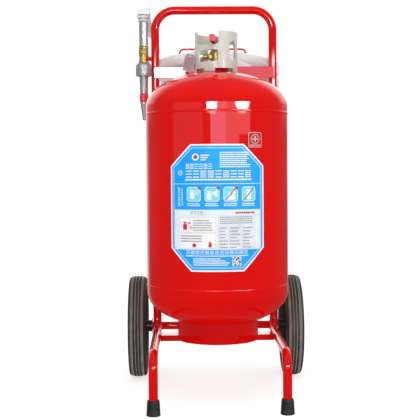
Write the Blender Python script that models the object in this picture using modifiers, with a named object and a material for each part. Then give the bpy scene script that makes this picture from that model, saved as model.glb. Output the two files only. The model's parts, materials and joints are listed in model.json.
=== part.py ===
"""Wheeled fire extinguisher: welded tank and valve, bent-tube trolley, wheels, folded hose and branch nozzle.

The trolley empty's frame has the tank's axis at x = 0, y = 0. The front faces -Y and +Z is up.
"""

import math

import bmesh
import bpy
from mathutils import Vector

GAP = 0.0003                    # between touching solids

# Trolley
TANK_Y = -0.1404                # moves the tank's axis so that the origin is under the middle of the part
TUBE_RADIUS = 0.0125
HALF_TRACK = 0.179              # tank axis to each frame tube's axis
UPRIGHT_Y = 0.227
HANDLE_Z = 1.139
HANDLE_BEND = 0.060
CHASSIS_Z = 0.160
ELBOW_BEND = 0.045
HOOP_FOOT_Z = 0.2603
FRONT_LEG_Y = -0.194
FOOT_HEIGHT = 0.042

# Wheels
WHEEL_RADIUS = 0.159
WHEEL_WIDTH = 0.056
RIM_RADIUS = 0.106
WHEEL_X = 0.2425
AXLE_Y = 0.335
AXLE_RADIUS = 0.008
AXLE_TUBE_END = 0.198

# Tank
TANK_RADIUS = 0.200
TANK_WALL = 0.0025
DISH_HEIGHT = 0.100
TOP_DISH_Z = 0.830
BOTTOM_DISH_Z = 0.311
NECK_HOLE_RADIUS = 0.035
FOOT_RING_RADIUS = 0.114
GUARD_RADIUS = 0.060
GUARD_TOP = 1.038

# Valve
VALVE_TOP = 0.998
OUTLET_Z = 0.985
GAUGE_Z = 0.972
GAUGE_X = -0.0375
PIVOT_Z = 1.0145
STEM_BORE = 0.0035
CHAMBER_RADIUS = 0.0128
PIN_Y = 0.0140                  # the safety pin's place behind the lever's pivot
PIN_Z = 1.0105
PIN_RADIUS = 0.0012
LEVER_TURN = math.radians(-10)  # the lever points a little to the left of the front

# Hose and nozzle
HOSE_RADIUS = 0.0125
HANK_X = 0.0135
HANK_HALF_LENGTH = 0.195
HANK_Y = 0.305
HANK_HALF_WIDTH = 0.058
HANK_TOP = 1.020
HANK_BOTTOM = 0.940
HANK_DROOP = 0.030
NOZZLE_X = -0.213
NOZZLE_Y = 0.200
TAIL_TOP = 1.103
FOLD_Z = 1.1225                 # middle of the hose's bend over the nozzle
FOLD_RADIUS = 0.0175

ALONG_X = (0, math.radians(90), 0)
ALONG_Y = (math.radians(-90), 0, 0)

RED = ("red_paint", (0.62, 0.012, 0.008), 0.22, 0.0)
BEIGE = ("beige_paint", (0.71, 0.67, 0.60), 0.40, 0.0)
BRASS = ("brass", (0.78, 0.55, 0.22), 0.30, 1.0)
ALUMINIUM = ("aluminium", (0.72, 0.74, 0.76), 0.35, 1.0)
CHROME = ("chrome", (0.85, 0.86, 0.87), 0.10, 1.0)
STEEL = ("zinc_steel", (0.55, 0.56, 0.57), 0.38, 1.0)
TYRE = ("tyre_rubber", (0.030, 0.030, 0.030), 0.75, 0.0)
BLACK = ("black_paint", (0.025, 0.025, 0.027), 0.35, 0.0)
RUBBER = ("black_rubber", (0.020, 0.020, 0.020), 0.60, 0.0)
NYLON = ("white_nylon", (0.80, 0.80, 0.78), 0.50, 0.0)
CANVAS = ("hose_canvas", (0.80, 0.80, 0.78), 0.85, 0.0)
DIAL = ("dial_face", (0.90, 0.90, 0.88), 0.60, 0.0)
GLASS = ("lens_glass", (0.90, 0.95, 0.97), 0.05, 0.0)
RED_PLASTIC = ("red_plastic", (0.62, 0.015, 0.012), 0.35, 0.0)
CARD = ("tag_card", (0.52, 0.46, 0.50), 0.70, 0.0)


# Helpers

def clear_scene():
    for obj in list(bpy.data.objects):
        bpy.data.objects.remove(obj)


def new_collection(name, hidden=False):
    collection = bpy.data.collections.new(name)
    collection.hide_render = hidden
    bpy.context.scene.collection.children.link(collection)
    return collection


def material(look):
    name, colour, roughness, metallic = look
    found = bpy.data.materials.get(name)
    if found:
        return found
    made = bpy.data.materials.new(name)
    made.use_nodes = True
    shader = made.node_tree.nodes["Principled BSDF"]
    shader.inputs["Base Color"].default_value = (*colour, 1)
    shader.inputs["Roughness"].default_value = roughness
    shader.inputs["Metallic"].default_value = metallic
    made.diffuse_color = (*colour, 1)
    return made


def empty(name, location, parent=None, rotation=(0, 0, 0)):
    made = bpy.data.objects.new(name, None)
    made.location = location
    made.rotation_euler = rotation
    made.parent = parent
    parts.objects.link(made)
    return made


def place(name, data, look, location=(0, 0, 0), rotation=(0, 0, 0), parent=None):
    """A named part in the trolley's frame, or in that of the parent given."""
    made = bpy.data.objects.new(name, data)
    made.location = location
    made.rotation_euler = rotation
    made.parent = parent or trolley
    if look:
        data.materials.append(material(look))
        parts.objects.link(made)
    else:
        made.hide_render = True
        made.display_type = "WIRE"
        cutters.objects.link(made)
    return made


def mesh_from(bm, name):
    mesh = bpy.data.meshes.new(name)
    bm.to_mesh(mesh)
    bm.free()
    return mesh


def box(name, low, high, look, parent=None):
    low, high = Vector(low), Vector(high)
    bm = bmesh.new()
    bmesh.ops.create_cube(bm, size=1)
    bmesh.ops.scale(bm, vec=high - low, verts=bm.verts)
    return place(name, mesh_from(bm, name), look, (low + high) / 2, parent=parent)


def cylinder(name, radius, start, end, look, parent=None, sides=24):
    """A round or polygonal bar from start to end."""
    start, end = Vector(start), Vector(end)
    bm = bmesh.new()
    bmesh.ops.create_cone(bm, cap_ends=True, segments=sides, depth=(end - start).length,
                          radius1=radius, radius2=radius)
    mesh = mesh_from(bm, name)
    mesh.shade_smooth()
    mesh.set_sharp_from_angle(angle=math.radians(35))
    turn = (end - start).to_track_quat("Z", "Y").to_euler()
    return place(name, mesh, look, (start + end) / 2, turn, parent)


def turned(name, profile, look, location=(0, 0, 0), rotation=(0, 0, 0), parent=None, steps=20, closed=True):
    """A profile of (radius, height) points, run down its outer side, turned about the local Z axis."""
    mesh = bpy.data.meshes.new(name)
    count = len(profile)
    edges = [(i, (i + 1) % count) for i in range(count if closed else count - 1)]
    mesh.from_pydata([(radius, 0, height) for radius, height in profile], edges, [])
    made = place(name, mesh, look, location, rotation, parent)
    screw = made.modifiers.new("Turn", "SCREW")
    screw.steps = steps
    screw.render_steps = steps
    screw.use_merge_vertices = True
    screw.merge_threshold = 0.00001
    return made


def ring(inner, outer, low, high):
    """The profile of a plain ring or tube."""
    return [(outer, high), (outer, low), (inner, low), (inner, high)]


def bar(radius, low, high, chamfer=0.0):
    """The profile of a solid round bar with chamfered ends."""
    if not chamfer:
        return [(0, high), (radius, high), (radius, low), (0, low)]
    return [(0, high), (radius - chamfer, high), (radius, high - chamfer),
            (radius, low + chamfer), (radius - chamfer, low), (0, low)]


def as_mesh(made):
    """Makes the object's evaluated shape its own mesh, with joined caps, so that it can be cut."""
    bpy.context.view_layer.update()
    graph = bpy.context.evaluated_depsgraph_get()
    mesh = bpy.data.meshes.new_from_object(made.evaluated_get(graph))
    bm = bmesh.new()
    bm.from_mesh(mesh)
    bmesh.ops.remove_doubles(bm, verts=bm.verts, dist=0.00001)
    bm.to_mesh(mesh)
    bm.free()
    solid = bpy.data.objects.new(made.name, mesh)
    solid.parent = made.parent
    solid.location = made.location
    solid.rotation_euler = made.rotation_euler
    solid.hide_render = made.hide_render
    solid.display_type = made.display_type
    name = made.name
    for home in made.users_collection:
        home.objects.link(solid)
    bpy.data.objects.remove(made)
    solid.name = name
    return solid


def combine(made, tool, operation="DIFFERENCE"):
    cut = made.modifiers.new(tool.name, "BOOLEAN")
    cut.operation = operation
    cut.object = tool
    cut.solver = "EXACT"


def tube(name, points, radius, look, resolution=3, parent=None):
    """A round bar along a chain of points."""
    curve = bpy.data.curves.new(name, "CURVE")
    curve.dimensions = "3D"
    curve.bevel_depth = radius
    curve.bevel_resolution = resolution
    curve.use_fill_caps = True
    line = curve.splines.new("POLY")
    line.points.add(len(points) - 1)
    for point, place_at in zip(line.points, points):
        point.co = (*place_at, 1)
    return place(name, curve, look, parent=parent)


def plate(name, outline, thickness, look, location=(0, 0, 0), rotation=(0, 0, 0), parent=None):
    """A flat outline in the local XY plane, thickened both ways."""
    curve = bpy.data.curves.new(name, "CURVE")
    curve.dimensions = "2D"
    curve.fill_mode = "BOTH"
    curve.extrude = thickness / 2
    line = curve.splines.new("POLY")
    line.points.add(len(outline) - 1)
    for point, (x, y) in zip(line.points, outline):
        point.co = (x, y, 0, 1)
    line.use_cyclic_u = True
    return place(name, curve, look, location, rotation, parent)


def arc(centre, radius, start, end, steps):
    """Points on a circle from one angle to another, in degrees."""
    angles = [math.radians(start + (end - start) * i / steps) for i in range(steps + 1)]
    return [(centre[0] + radius * math.cos(a), centre[1] + radius * math.sin(a)) for a in angles]


def smooth_route(knots, spacing):
    """Evenly spaced points on one smooth curve through the knots."""
    knots = [Vector(knot) for knot in knots]
    ends = [2 * knots[0] - knots[1], *knots, 2 * knots[-1] - knots[-2]]
    dense = []
    for a, b, c, d in zip(ends, ends[1:], ends[2:], ends[3:]):
        for i in range(20):
            t = i / 20
            dense.append(0.5 * ((2 * b) + (c - a) * t + (2 * a - 5 * b + 4 * c - d) * t ** 2
                                + (3 * b - a - 3 * c + d) * t ** 3))
    dense.append(knots[-1])
    total = sum((q - p).length for p, q in zip(dense, dense[1:]))
    pieces = max(2, round(total / spacing))
    points, travelled, want = [dense[0]], 0.0, total / pieces
    for p, q in zip(dense, dense[1:]):
        step = (q - p).length
        while travelled + step >= want and len(points) < pieces:
            points.append(p.lerp(q, (want - travelled) / step))
            want += total / pieces
        travelled += step
    points.append(dense[-1])
    return points


def mirrored(points):
    return [(-x, y, z) for x, y, z in points]


# Frame

def handle_hoop():
    left = [(-HALF_TRACK, UPRIGHT_Y, HOOP_FOOT_Z)]
    corner = (-HALF_TRACK + HANDLE_BEND, HANDLE_Z - HANDLE_BEND)
    left += [(x, UPRIGHT_Y, z) for x, z in arc(corner, HANDLE_BEND, 180, 90, 8)]
    tube("handle_hoop", left + mirrored(left)[::-1], TUBE_RADIUS, RED)


def leg(name, side):
    x = side * HALF_TRACK
    rear = arc((UPRIGHT_Y - ELBOW_BEND, CHASSIS_Z + ELBOW_BEND), ELBOW_BEND, 0, -90, 7)
    front = arc((FRONT_LEG_Y + ELBOW_BEND, CHASSIS_Z - ELBOW_BEND), ELBOW_BEND, 90, 180, 7)
    side_view = [(UPRIGHT_Y, HOOP_FOOT_Z - GAP), *rear, *front, (FRONT_LEG_Y, 0.0105)]
    tube(name, [(x, y, z) for y, z in side_view], TUBE_RADIUS, RED)


def rubber_foot(name, side):
    socket = TUBE_RADIUS + GAP
    profile = [(0, 0.010), (socket, 0.010), (socket, FOOT_HEIGHT), (0.0160, FOOT_HEIGHT),
               (0.0192, 0.003), (0.0180, 0), (0, 0)]
    turned(name, profile, RUBBER, (side * HALF_TRACK, FRONT_LEG_Y, 0), closed=False, steps=24)


def frame_bars():
    front = UPRIGHT_Y - TUBE_RADIUS - GAP
    box("upper_strap", (-0.183, front - 0.004, 0.932), (0.183, front, 0.967), RED)
    box("rear_tank_bar", (-0.183, front - 0.008, 0.600), (0.183, front, 0.640), RED)
    tank_saddle(front - 0.008 - GAP)
    lower_crossbar()


def tank_saddle(back):
    """A curved pad on the tank's back, under the rear bar."""
    inner = TANK_RADIUS + GAP
    outline = arc((0, 0), inner, 74, 106, 12) + arc((0, 0), back, 106, 74, 12)
    plate("tank_saddle", outline, 0.080, RED, (0, 0, 0.620))


def lower_crossbar():
    """A channel, open underneath, that carries the tank's foot ring."""
    half = HALF_TRACK - TUBE_RADIUS - GAP
    depth, height, wall = 0.059, 0.017, 0.003
    outline = [(0, 0), (depth, 0), (depth, -height), (depth - wall, -height), (depth - wall, -wall),
               (wall, -wall), (wall, -height), (0, -height)]
    plate("lower_crossbar", outline, 2 * half, RED, (0, 0.060, 0.1725),
          (math.radians(90), 0, math.radians(90)))


def axle_bracket(name, side):
    """A plate behind the upright that carries the axle tube."""
    near = UPRIGHT_Y + TUBE_RADIUS + GAP - AXLE_Y
    outline = [(near, 0.075), (near, -0.012), *arc((0, 0), 0.024, -110, 70, 10), (near + 0.030, 0.075)]
    made = as_mesh(plate(name, outline, 0.006, RED, (side * HALF_TRACK, AXLE_Y, WHEEL_RADIUS),
                         (math.radians(90), 0, math.radians(90))))
    hole = cylinder(name + "_hole", TUBE_RADIUS + GAP, (side * HALF_TRACK - 0.01, AXLE_Y, WHEEL_RADIUS),
                    (side * HALF_TRACK + 0.01, AXLE_Y, WHEEL_RADIUS), None, sides=32)
    combine(made, hole)


def axle():
    centre = (0, AXLE_Y, WHEEL_RADIUS)
    turned("axle_tube", ring(AXLE_RADIUS + 0.0006, TUBE_RADIUS, -AXLE_TUBE_END, AXLE_TUBE_END), RED,
           centre, ALONG_X, steps=24)
    turned("axle_rod", bar(AXLE_RADIUS, -0.2665, 0.2665, 0.001), STEEL, centre, ALONG_X, closed=False, steps=20)


def hose_rack():
    """A wire loop from the strap, back under the hose and up behind it."""
    wire, half, low, high, rear = 0.003, 0.106, 0.9275, 1.040, 0.378
    front = UPRIGHT_Y - TUBE_RADIUS
    bend = 0.014
    side = arc((rear - bend, low + bend), bend, -90, 0, 5)
    left = [(-half, front, low + 0.009), (-half, front + 0.008, low + 0.009), (-half, front + 0.024, low + 0.001),
            (-half, front + 0.030, low), *[(-half, y, z) for y, z in side]]
    left += [(x, rear, z) for x, z in arc((-half + bend, high - bend), bend, 180, 90, 5)]
    tube("hose_rack", left + mirrored(left)[::-1], wire, RED, resolution=1)


def nozzle_bracket():
    """An open clip round the nozzle's brass, and its arm to the left upright."""
    away = Vector((-HALF_TRACK - NOZZLE_X, UPRIGHT_Y - NOZZLE_Y))
    facing = math.degrees(math.atan2(away.y, away.x))
    inner, outer, arm = 0.0156, 0.0172, 0.004
    reach = away.length - TUBE_RADIUS - GAP
    root = math.degrees(math.asin(arm / outer))
    clip = arc((0, 0), inner, 100, -100, 20) + arc((0, 0), outer, -100, -root, 10)
    clip += [(reach - 0.0006, -arm), (reach - 0.0006, arm)] + arc((0, 0), outer, root, 100, 10)
    plate("nozzle_bracket", clip, 0.012, RED, (NOZZLE_X, NOZZLE_Y, 0.9905), (0, 0, math.radians(facing)))


# Wheels

def tyre(name, side):
    half = WHEEL_WIDTH / 2
    crown = [(WHEEL_RADIUS - 0.014 * (1 - math.cos(a) ** 0.6), half * math.sin(a))
             for a in [math.radians(80 - 20 * i) for i in range(9)]]
    inner = RIM_RADIUS + GAP
    profile = [(inner, half - 0.012), (inner + 0.016, half - 0.001), *crown,
               (inner + 0.016, -half + 0.001), (inner, -half + 0.012)]
    turned(name, profile, TYRE, (side * WHEEL_X, AXLE_Y, WHEEL_RADIUS), ALONG_X, steps=36)


def wheel_rim(name, side):
    """A pressed disc wheel: rim, web with five openings, and hub tube. Its local +Z points outwards."""
    bush = 0.0110 + GAP
    hub_in, hub_out = -0.0417, 0.0190
    profile = [(RIM_RADIUS, 0.017), (RIM_RADIUS, -0.017), (RIM_RADIUS - 0.006, -0.017),
               (RIM_RADIUS - 0.008, -0.004), (0.030, -0.002), (0.020, -0.006), (0.018, hub_in),
               (bush, hub_in), (bush, hub_out), (0.020, hub_out), (0.022, 0.006), (0.030, 0.003),
               (RIM_RADIUS - 0.008, 0.001), (RIM_RADIUS - 0.006, 0.017)]
    made = turned(name, profile, BLACK, (side * WHEEL_X, AXLE_Y, WHEEL_RADIUS),
                  (0, math.radians(90 * side), 0), steps=36)
    for i in range(5):
        angle = math.radians(90 + 72 * i)
        middle = Vector((0, 0.064 * math.cos(angle), 0.064 * math.sin(angle)))
        hub = Vector((side * WHEEL_X, AXLE_Y, WHEEL_RADIUS))
        reach = Vector((0.03, 0, 0))
        hole = cylinder(f"{name}_hole_{i}", 0.021, hub + middle - reach, hub + middle + reach, None,
                        sides=12)
        combine(made, hole)


def wheel_fittings(word, side):
    centre = (side * WHEEL_X, AXLE_Y, WHEEL_RADIUS)
    turned(f"hub_bush_{word}", ring(AXLE_RADIUS + 0.0003, 0.0110, -0.0415, 0.0188), NYLON, centre,
           (0, math.radians(90 * side), 0), steps=16)
    inner_face = AXLE_TUBE_END + GAP
    low, high = sorted((side * inner_face, side * (inner_face + 0.002)))
    turned(f"axle_washer_{word}", ring(AXLE_RADIUS + 0.0004, 0.025, low, high), STEEL,
           (0, AXLE_Y, WHEEL_RADIUS), ALONG_X)
    bore = AXLE_RADIUS + GAP
    cap = [(0, 0.0275), (0.010, 0.0275), (0.0125, 0.0245), (0.0150, 0.0195), (bore, 0.0195),
           (bore, 0.0245), (0, 0.0245)]
    turned(f"axle_cap_{word}", cap, STEEL, centre, (0, math.radians(90 * side), 0), closed=False, steps=16)


# Tank

def dish(radius, centre_z, height, low_r, high_r, steps, up):
    """Points down a dished end, from the smaller radius to the larger, or back for the lower end."""
    points = []
    first, last = math.asin(low_r / radius), math.asin(min(1, high_r / radius))
    for i in range(steps + 1):
        a = first + (last - first) * i / steps
        points.append((radius * math.sin(a), centre_z + up * height * math.cos(a)))
    return points if up > 0 else points[::-1]


def tank_shell():
    inner_r, inner_h = TANK_RADIUS - TANK_WALL, DISH_HEIGHT - TANK_WALL
    inside = dish(inner_r, TOP_DISH_Z, inner_h, NECK_HOLE_RADIUS, inner_r, 4, 1)
    inside += dish(inner_r, BOTTOM_DISH_Z, inner_h, 0, inner_r, 4, -1)
    outside = dish(TANK_RADIUS, TOP_DISH_Z, DISH_HEIGHT, NECK_HOLE_RADIUS, TANK_RADIUS, 9, 1)
    outside += dish(TANK_RADIUS, BOTTOM_DISH_Z, DISH_HEIGHT, 0, TANK_RADIUS, 9, -1)
    turned("tank_shell", inside[::-1] + outside, RED, closed=False, steps=40)


def tank_fittings():
    turned("foot_ring", ring(FOOT_RING_RADIUS - 0.003, FOOT_RING_RADIUS, 0.1725 + GAP, 0.2274), RED, steps=32)
    turned("neck_boss", ring(0.0203, NECK_HOLE_RADIUS - 0.0005, 0.912, 0.9425), RED)
    turned("neck_gasket", ring(0.0206, 0.0260, 0.9428, 0.9448), RUBBER)
    turned("dip_tube", ring(0.0110, 0.0125, 0.245, 0.9145), ALUMINIUM, steps=16)
    turned("dip_strainer", [(0.0128, 0.275), (0.0145, 0.275), (0.0145, 0.232), (0.0128, 0.232)], NYLON, steps=16)


def valve_guard():
    """A stamped ring round the valve, with a notch for the lever, windows and drain notches."""
    made = turned("valve_guard", ring(GUARD_RADIUS - 0.003, GUARD_RADIUS, 0.9262, GUARD_TOP), BEIGE, steps=36)
    lever_notch = rounded_window("lever_notch", 0.058, 0.080, 0.010, depth=0.075)
    lever_notch.location = (-0.024, -GUARD_RADIUS, 1.0405)
    combine(made, lever_notch)
    front_window = rounded_window("front_window", 0.0525, 0.032, 0.006)
    front_window.location = (-0.0228, -GUARD_RADIUS, 0.970)
    combine(made, front_window)
    rear_window = rounded_window("rear_window", 0.048, 0.052, 0.006)
    rear_window.location = (0.002, GUARD_RADIUS, 0.984)
    combine(made, rear_window)
    for name, angle in (("side_slot_front", 49), ("side_slot_rear", 131)):
        slot = rounded_window(name, 0.026, 0.053, 0.0125)
        slot.location = (GUARD_RADIUS * math.sin(math.radians(angle)),
                         -GUARD_RADIUS * math.cos(math.radians(angle)), 0.9845)
        slot.rotation_euler = (math.radians(90), 0, math.radians(angle))
        combine(made, slot)
    for index, (left, right) in enumerate(((-0.058, -0.035), (-0.005, 0.045))):
        for face in (-1, 1):
            notch = box(f"drain_notch_{index}_{face}", (left, face * 0.045 - 0.030, 0.920),
                        (right, face * 0.045 + 0.030, 0.9352), None)
            combine(made, notch)


def rounded_window(name, width, height, corner, depth=0.050):
    """A cutter with rounded corners, standing in the XZ plane and deep enough for one wall."""
    corners = ((width / 2 - corner, height / 2 - corner, 0), (-width / 2 + corner, height / 2 - corner, 90),
               (-width / 2 + corner, -height / 2 + corner, 180), (width / 2 - corner, -height / 2 + corner, 270))
    outline = []
    for x, y, start in corners:
        outline += arc((x, y), corner, start, start + 90, 5)
    return as_mesh(plate(name, outline, depth, None, rotation=(math.radians(90), 0, 0)))


# Valve

def valve_body():
    """A brass body with thread spigot, hexagon, outlet and gauge port, bored for the stem."""
    made = turned("valve_body", [(0, VALVE_TOP), (0.0135, VALVE_TOP), (0.0150, VALVE_TOP - 0.002),
                                 (0.0150, 0.950), (0.0200, 0.950), (0.0200, 0.905), (0, 0.905)],
                  BRASS, closed=False)
    hexagon = cylinder("valve_hexagon", 0.0254, (0, 0, 0.9451), (0, 0, 0.9565), None, sides=6)
    combine(made, hexagon, "UNION")
    outlet = cylinder("valve_outlet", 0.0125, (0, 0.005, OUTLET_Z), (0, 0.0400, OUTLET_Z), None, sides=20)
    combine(made, outlet, "UNION")
    port = cylinder("gauge_port", 0.0085, (-0.005, 0, GAUGE_Z), (-0.0215, 0, GAUGE_Z), None, sides=6)
    combine(made, port, "UNION")
    bores = (("chamber_bore", CHAMBER_RADIUS, (0, 0, 0.900), (0, 0, 0.9430)),
             ("seat_bore", 0.0055, (0, 0, 0.9400), (0, 0, 0.9920)),
             ("guide_bore", STEM_BORE, (0, 0, 0.9900), (0, 0, 1.0100)),
             ("outlet_bore", 0.0080, (0, 0, OUTLET_Z), (0, 0.0450, OUTLET_Z)))
    for name, radius, start, end in bores:
        combine(made, cylinder(name, radius, start, end, None, sides=20))


def valve_bonnet():
    """A steel nut on the valve's top, with two ears for the lever's pivot."""
    made = cylinder("valve_bonnet", 0.0125, (0, 0, VALVE_TOP + GAP), (0, 0, 1.0020), STEEL, lever_side, sides=6)
    for side in (-1, 1):
        low, high = sorted((side * 0.0053, side * 0.0083))
        ear = cylinder(f"ear_{side}", 0.0072, (low, 0, PIVOT_Z), (high, 0, PIVOT_Z), None, lever_side)
        combine(made, ear, "UNION")
        web = box(f"ear_web_{side}", (low, -0.0068, 1.0010), (high, 0.0175, PIVOT_Z), None, lever_side)
        combine(made, web, "UNION")
    for name, y, z, radius in (("pivot_hole", 0, PIVOT_Z, 0.0025 + GAP),
                               ("pin_hole", PIN_Y, PIN_Z, PIN_RADIUS + GAP)):
        combine(made, cylinder(name, radius, (-0.02, y, z), (0.02, y, z), None, lever_side, sides=16))
    stem_hole = cylinder("bonnet_bore", STEM_BORE, (0, 0, 0.990), (0, 0, 1.010), None, lever_side, sides=20)
    combine(made, stem_hole)


def lever():
    """A spiral cam on the pivot, and the red channel handle on its tongue."""
    start_radius, rise = 0.0060, 0.0040
    cam = []
    for i in range(21):
        angle = -math.pi / 2 + math.pi / 2 * i / 20
        radius = start_radius + rise * i / 20
        cam.append((-radius * math.cos(angle), radius * math.sin(angle)))
    top = [(-(start_radius + rise) * math.cos(a), (start_radius + rise) * math.sin(a) * 0.7)
           for a in [math.radians(18 * i) for i in range(1, 6)]]
    tongue = [(0.036, 0.0045), (0.036, -0.0035), (0.005, -0.0045)]
    outline = cam + top + tongue
    # The outline's +X is the lever's forward direction, which is local -Y.
    made = as_mesh(plate("lever_cam", outline, 0.0098, STEEL, (0, 0, PIVOT_Z),
                         (math.radians(90), 0, math.radians(-90)), lever_side))
    combine(made, cylinder("cam_hole", 0.0025 + GAP, (-0.02, 0, PIVOT_Z), (0.02, 0, PIVOT_Z), None, lever_side))
    handle_channel()


def handle_channel():
    """The handle: an upside-down channel of red-coated sheet that closes over the cam's tongue."""
    half, wall, top, bottom = 0.0072, 0.0020, 0.0115, -0.0085
    outline = [(-half, bottom), (-half + wall, bottom), (-half + wall, top - wall), (half - wall, top - wall),
               (half - wall, bottom), (half, bottom), (half, top - 0.003), (half - 0.003, top),
               (-half + 0.003, top), (-half, top - 0.003)]
    length = 0.070
    plate("lever_handle", outline, length, RED_PLASTIC, (0, -0.0105 - length / 2, PIVOT_Z),
          (math.radians(90), 0, 0), lever_side)


def valve_inside():
    turned("valve_stem", [(0, 1.0079), (0.0020, 1.0075), (0.0032, 1.0060), (0.0032, 0.9422),
                          (0.0118, 0.9422), (0.0118, 0.9375), (0, 0.9375)], BRASS, closed=False, steps=20)
    turns, wire, low, high = 3, 0.0010, 0.9160, 0.9362
    coil = []
    for i in range(turns * 8 + 1):
        angle = 2 * math.pi * i / 8
        coil.append((0.0112 * math.cos(angle), 0.0112 * math.sin(angle),
                     low + (high - low) * i / (turns * 8)))
    tube("valve_spring", coil, wire, STEEL, resolution=1)


def lever_fasteners():
    turned("lever_pivot_pin", [(0, 0.0115), (0.0045, 0.0115), (0.0045, 0.0086), (0.0025, 0.0086),
                               (0.0025, -0.0086), (0.0038, -0.0086), (0.0038, -0.0110), (0, -0.0110)], STEEL,
           (0, 0, PIVOT_Z), ALONG_X, lever_side, closed=False, steps=20)
    # One bent wire: the straight pin, then its pull ring. It lies behind the cam, along the pivot's axis.
    ring_radius, ring_start = 0.0080, 0.0130
    loop = [(ring_start + ring_radius * (1 - math.cos(a)), PIN_Y + ring_radius * math.sin(a), PIN_Z)
            for a in [math.radians(22 * i) for i in range(15)]]
    tube("safety_pin", [(-0.0100, PIN_Y, PIN_Z), (0.0095, PIN_Y, PIN_Z), *loop], PIN_RADIUS, STEEL,
         resolution=1, parent=lever_side)


def gauge():
    """A pressure gauge on the valve's left side, its dial facing left."""
    centre = (0, 0, GAUGE_Z)
    out = (0, math.radians(-90), 0)   # local +Z points to -X
    depth = -GAUGE_X
    turned("gauge_stem", [(0, depth - GAP), (0.0060, depth - GAP), (0.0060, 0.0320), (0.0075, 0.0310),
                          (0.0075, 0.0250), (0.0060, 0.0240), (0.0060, 0.0218), (0, 0.0218)], BRASS,
           centre, out, closed=False, steps=20)
    turned("gauge_case", [(0, depth + 0.0015), (0.0184, depth + 0.0015), (0.0184, depth + 0.0110),
                          (0.0200, depth + 0.0110), (0.0200, depth + 0.0010), (0.0190, depth), (0, depth)],
           CHROME, centre, out, closed=False, steps=24)
    turned("gauge_dial", bar(0.0180, depth + 0.0018, depth + 0.0024), DIAL, centre, out, closed=False, steps=24)
    turned("gauge_lens", bar(0.0181, depth + 0.0092, depth + 0.0102), GLASS, centre, out, closed=False, steps=24)
    made = plate("gauge_needle", [(0.0007, -0.0050), (0.0007, 0), (0.0003, 0.0130), (-0.0003, 0.0130),
                                  (-0.0007, 0), (-0.0007, -0.0050)], 0.0005, BLACK,
                 (-(depth + 0.0052), 0, GAUGE_Z), (math.radians(90), 0, math.radians(-90)))
    hub = turned("needle_hub", bar(0.0018, depth + 0.0029, depth + 0.0062), None, centre, out,
                 closed=False, steps=10)
    combine(as_mesh(made), as_mesh(hub), "UNION")


def outlet_fitting():
    """A union nut and ridged tail that the hose is clamped on."""
    profile = [(0.0080, 0.0403), (0.0080, 0.0980), (0.0105, 0.0980)]
    for i in range(2):
        base = 0.0900 - 0.0120 * i
        profile += [(0.0122, base), (0.0110, base - 0.0005)]
    profile += [(0.0110, 0.0570), (0.0150, 0.0570), (0.0150, 0.0403)]
    made = turned("outlet_fitting", profile[::-1], BRASS, (0, 0, OUTLET_Z), ALONG_Y, steps=16)
    nut = cylinder("outlet_nut", 0.0190, (0, 0.0403, OUTLET_Z), (0, 0.0560, OUTLET_Z), None, sides=6)
    bore = cylinder("outlet_nut_bore", 0.0081, (0, 0.030, OUTLET_Z), (0, 0.080, OUTLET_Z), None)
    combine(made, nut, "UNION")
    combine(made, bore)
    turned("outlet_clamp", ring(0.0142, 0.0150, 0.0740, 0.0850), STEEL, (0, 0, OUTLET_Z), ALONG_Y, steps=16)


# Hose and nozzle

def droop(x):
    """How far the folded hose's ends sag below its middle."""
    return HANK_DROOP * (x / HANK_HALF_LENGTH) ** 2


def hose_hank():
    """The outer shape of the folded hose: a bar with round ends that sags to both sides."""
    end = HANK_HALF_WIDTH
    straight = HANK_HALF_LENGTH - end
    outline = arc((straight, 0), end, -90, 90, 10) + arc((-straight, 0), end, 90, 270, 10)
    bm = bmesh.new()
    rims = []
    for height in (HANK_BOTTOM, HANK_TOP):
        rows = []
        for x, y in subdivided(outline):
            z = height - droop(HANK_X + x)
            rows.append(bm.verts.new((HANK_X + x, HANK_Y + y, z)))
        rims.append(rows)
    skin_between(bm, rims[0], rims[1])
    for rim in rims:
        bridge_across(bm, rim)
    bmesh.ops.recalc_face_normals(bm, faces=bm.faces)
    place("hose_hank", mesh_from(bm, "hose_hank"), CANVAS)


def subdivided(outline):
    """The closed outline, with its long straight sides cut into short ones."""
    points = []
    for (x1, y1), (x2, y2) in zip(outline, outline[1:] + outline[:1]):
        cuts = max(1, round(math.hypot(x2 - x1, y2 - y1) / 0.030))
        points += [(x1 + (x2 - x1) * i / cuts, y1 + (y2 - y1) * i / cuts) for i in range(cuts)]
    return points


def skin_between(bm, lower, upper):
    for i in range(len(lower)):
        j = (i + 1) % len(lower)
        bm.faces.new((lower[i], lower[j], upper[j], upper[i]))


def bridge_across(bm, rim):
    """Fills a long rim with strips across its width, so that it can bend along its length."""
    ordered = rim[:]
    count = len(ordered)
    first = min(range(count), key=lambda i: ordered[i].co.x)
    ordered = ordered[first:] + ordered[:first]
    left, right = 1, count - 1
    bm.faces.new((ordered[0], ordered[left], ordered[right]))
    while right - left > 2:
        bm.faces.new((ordered[left], ordered[left + 1], ordered[right - 1], ordered[right]))
        left += 1
        right -= 1
    if right - left == 2:
        bm.faces.new((ordered[left], ordered[left + 1], ordered[right]))


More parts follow.
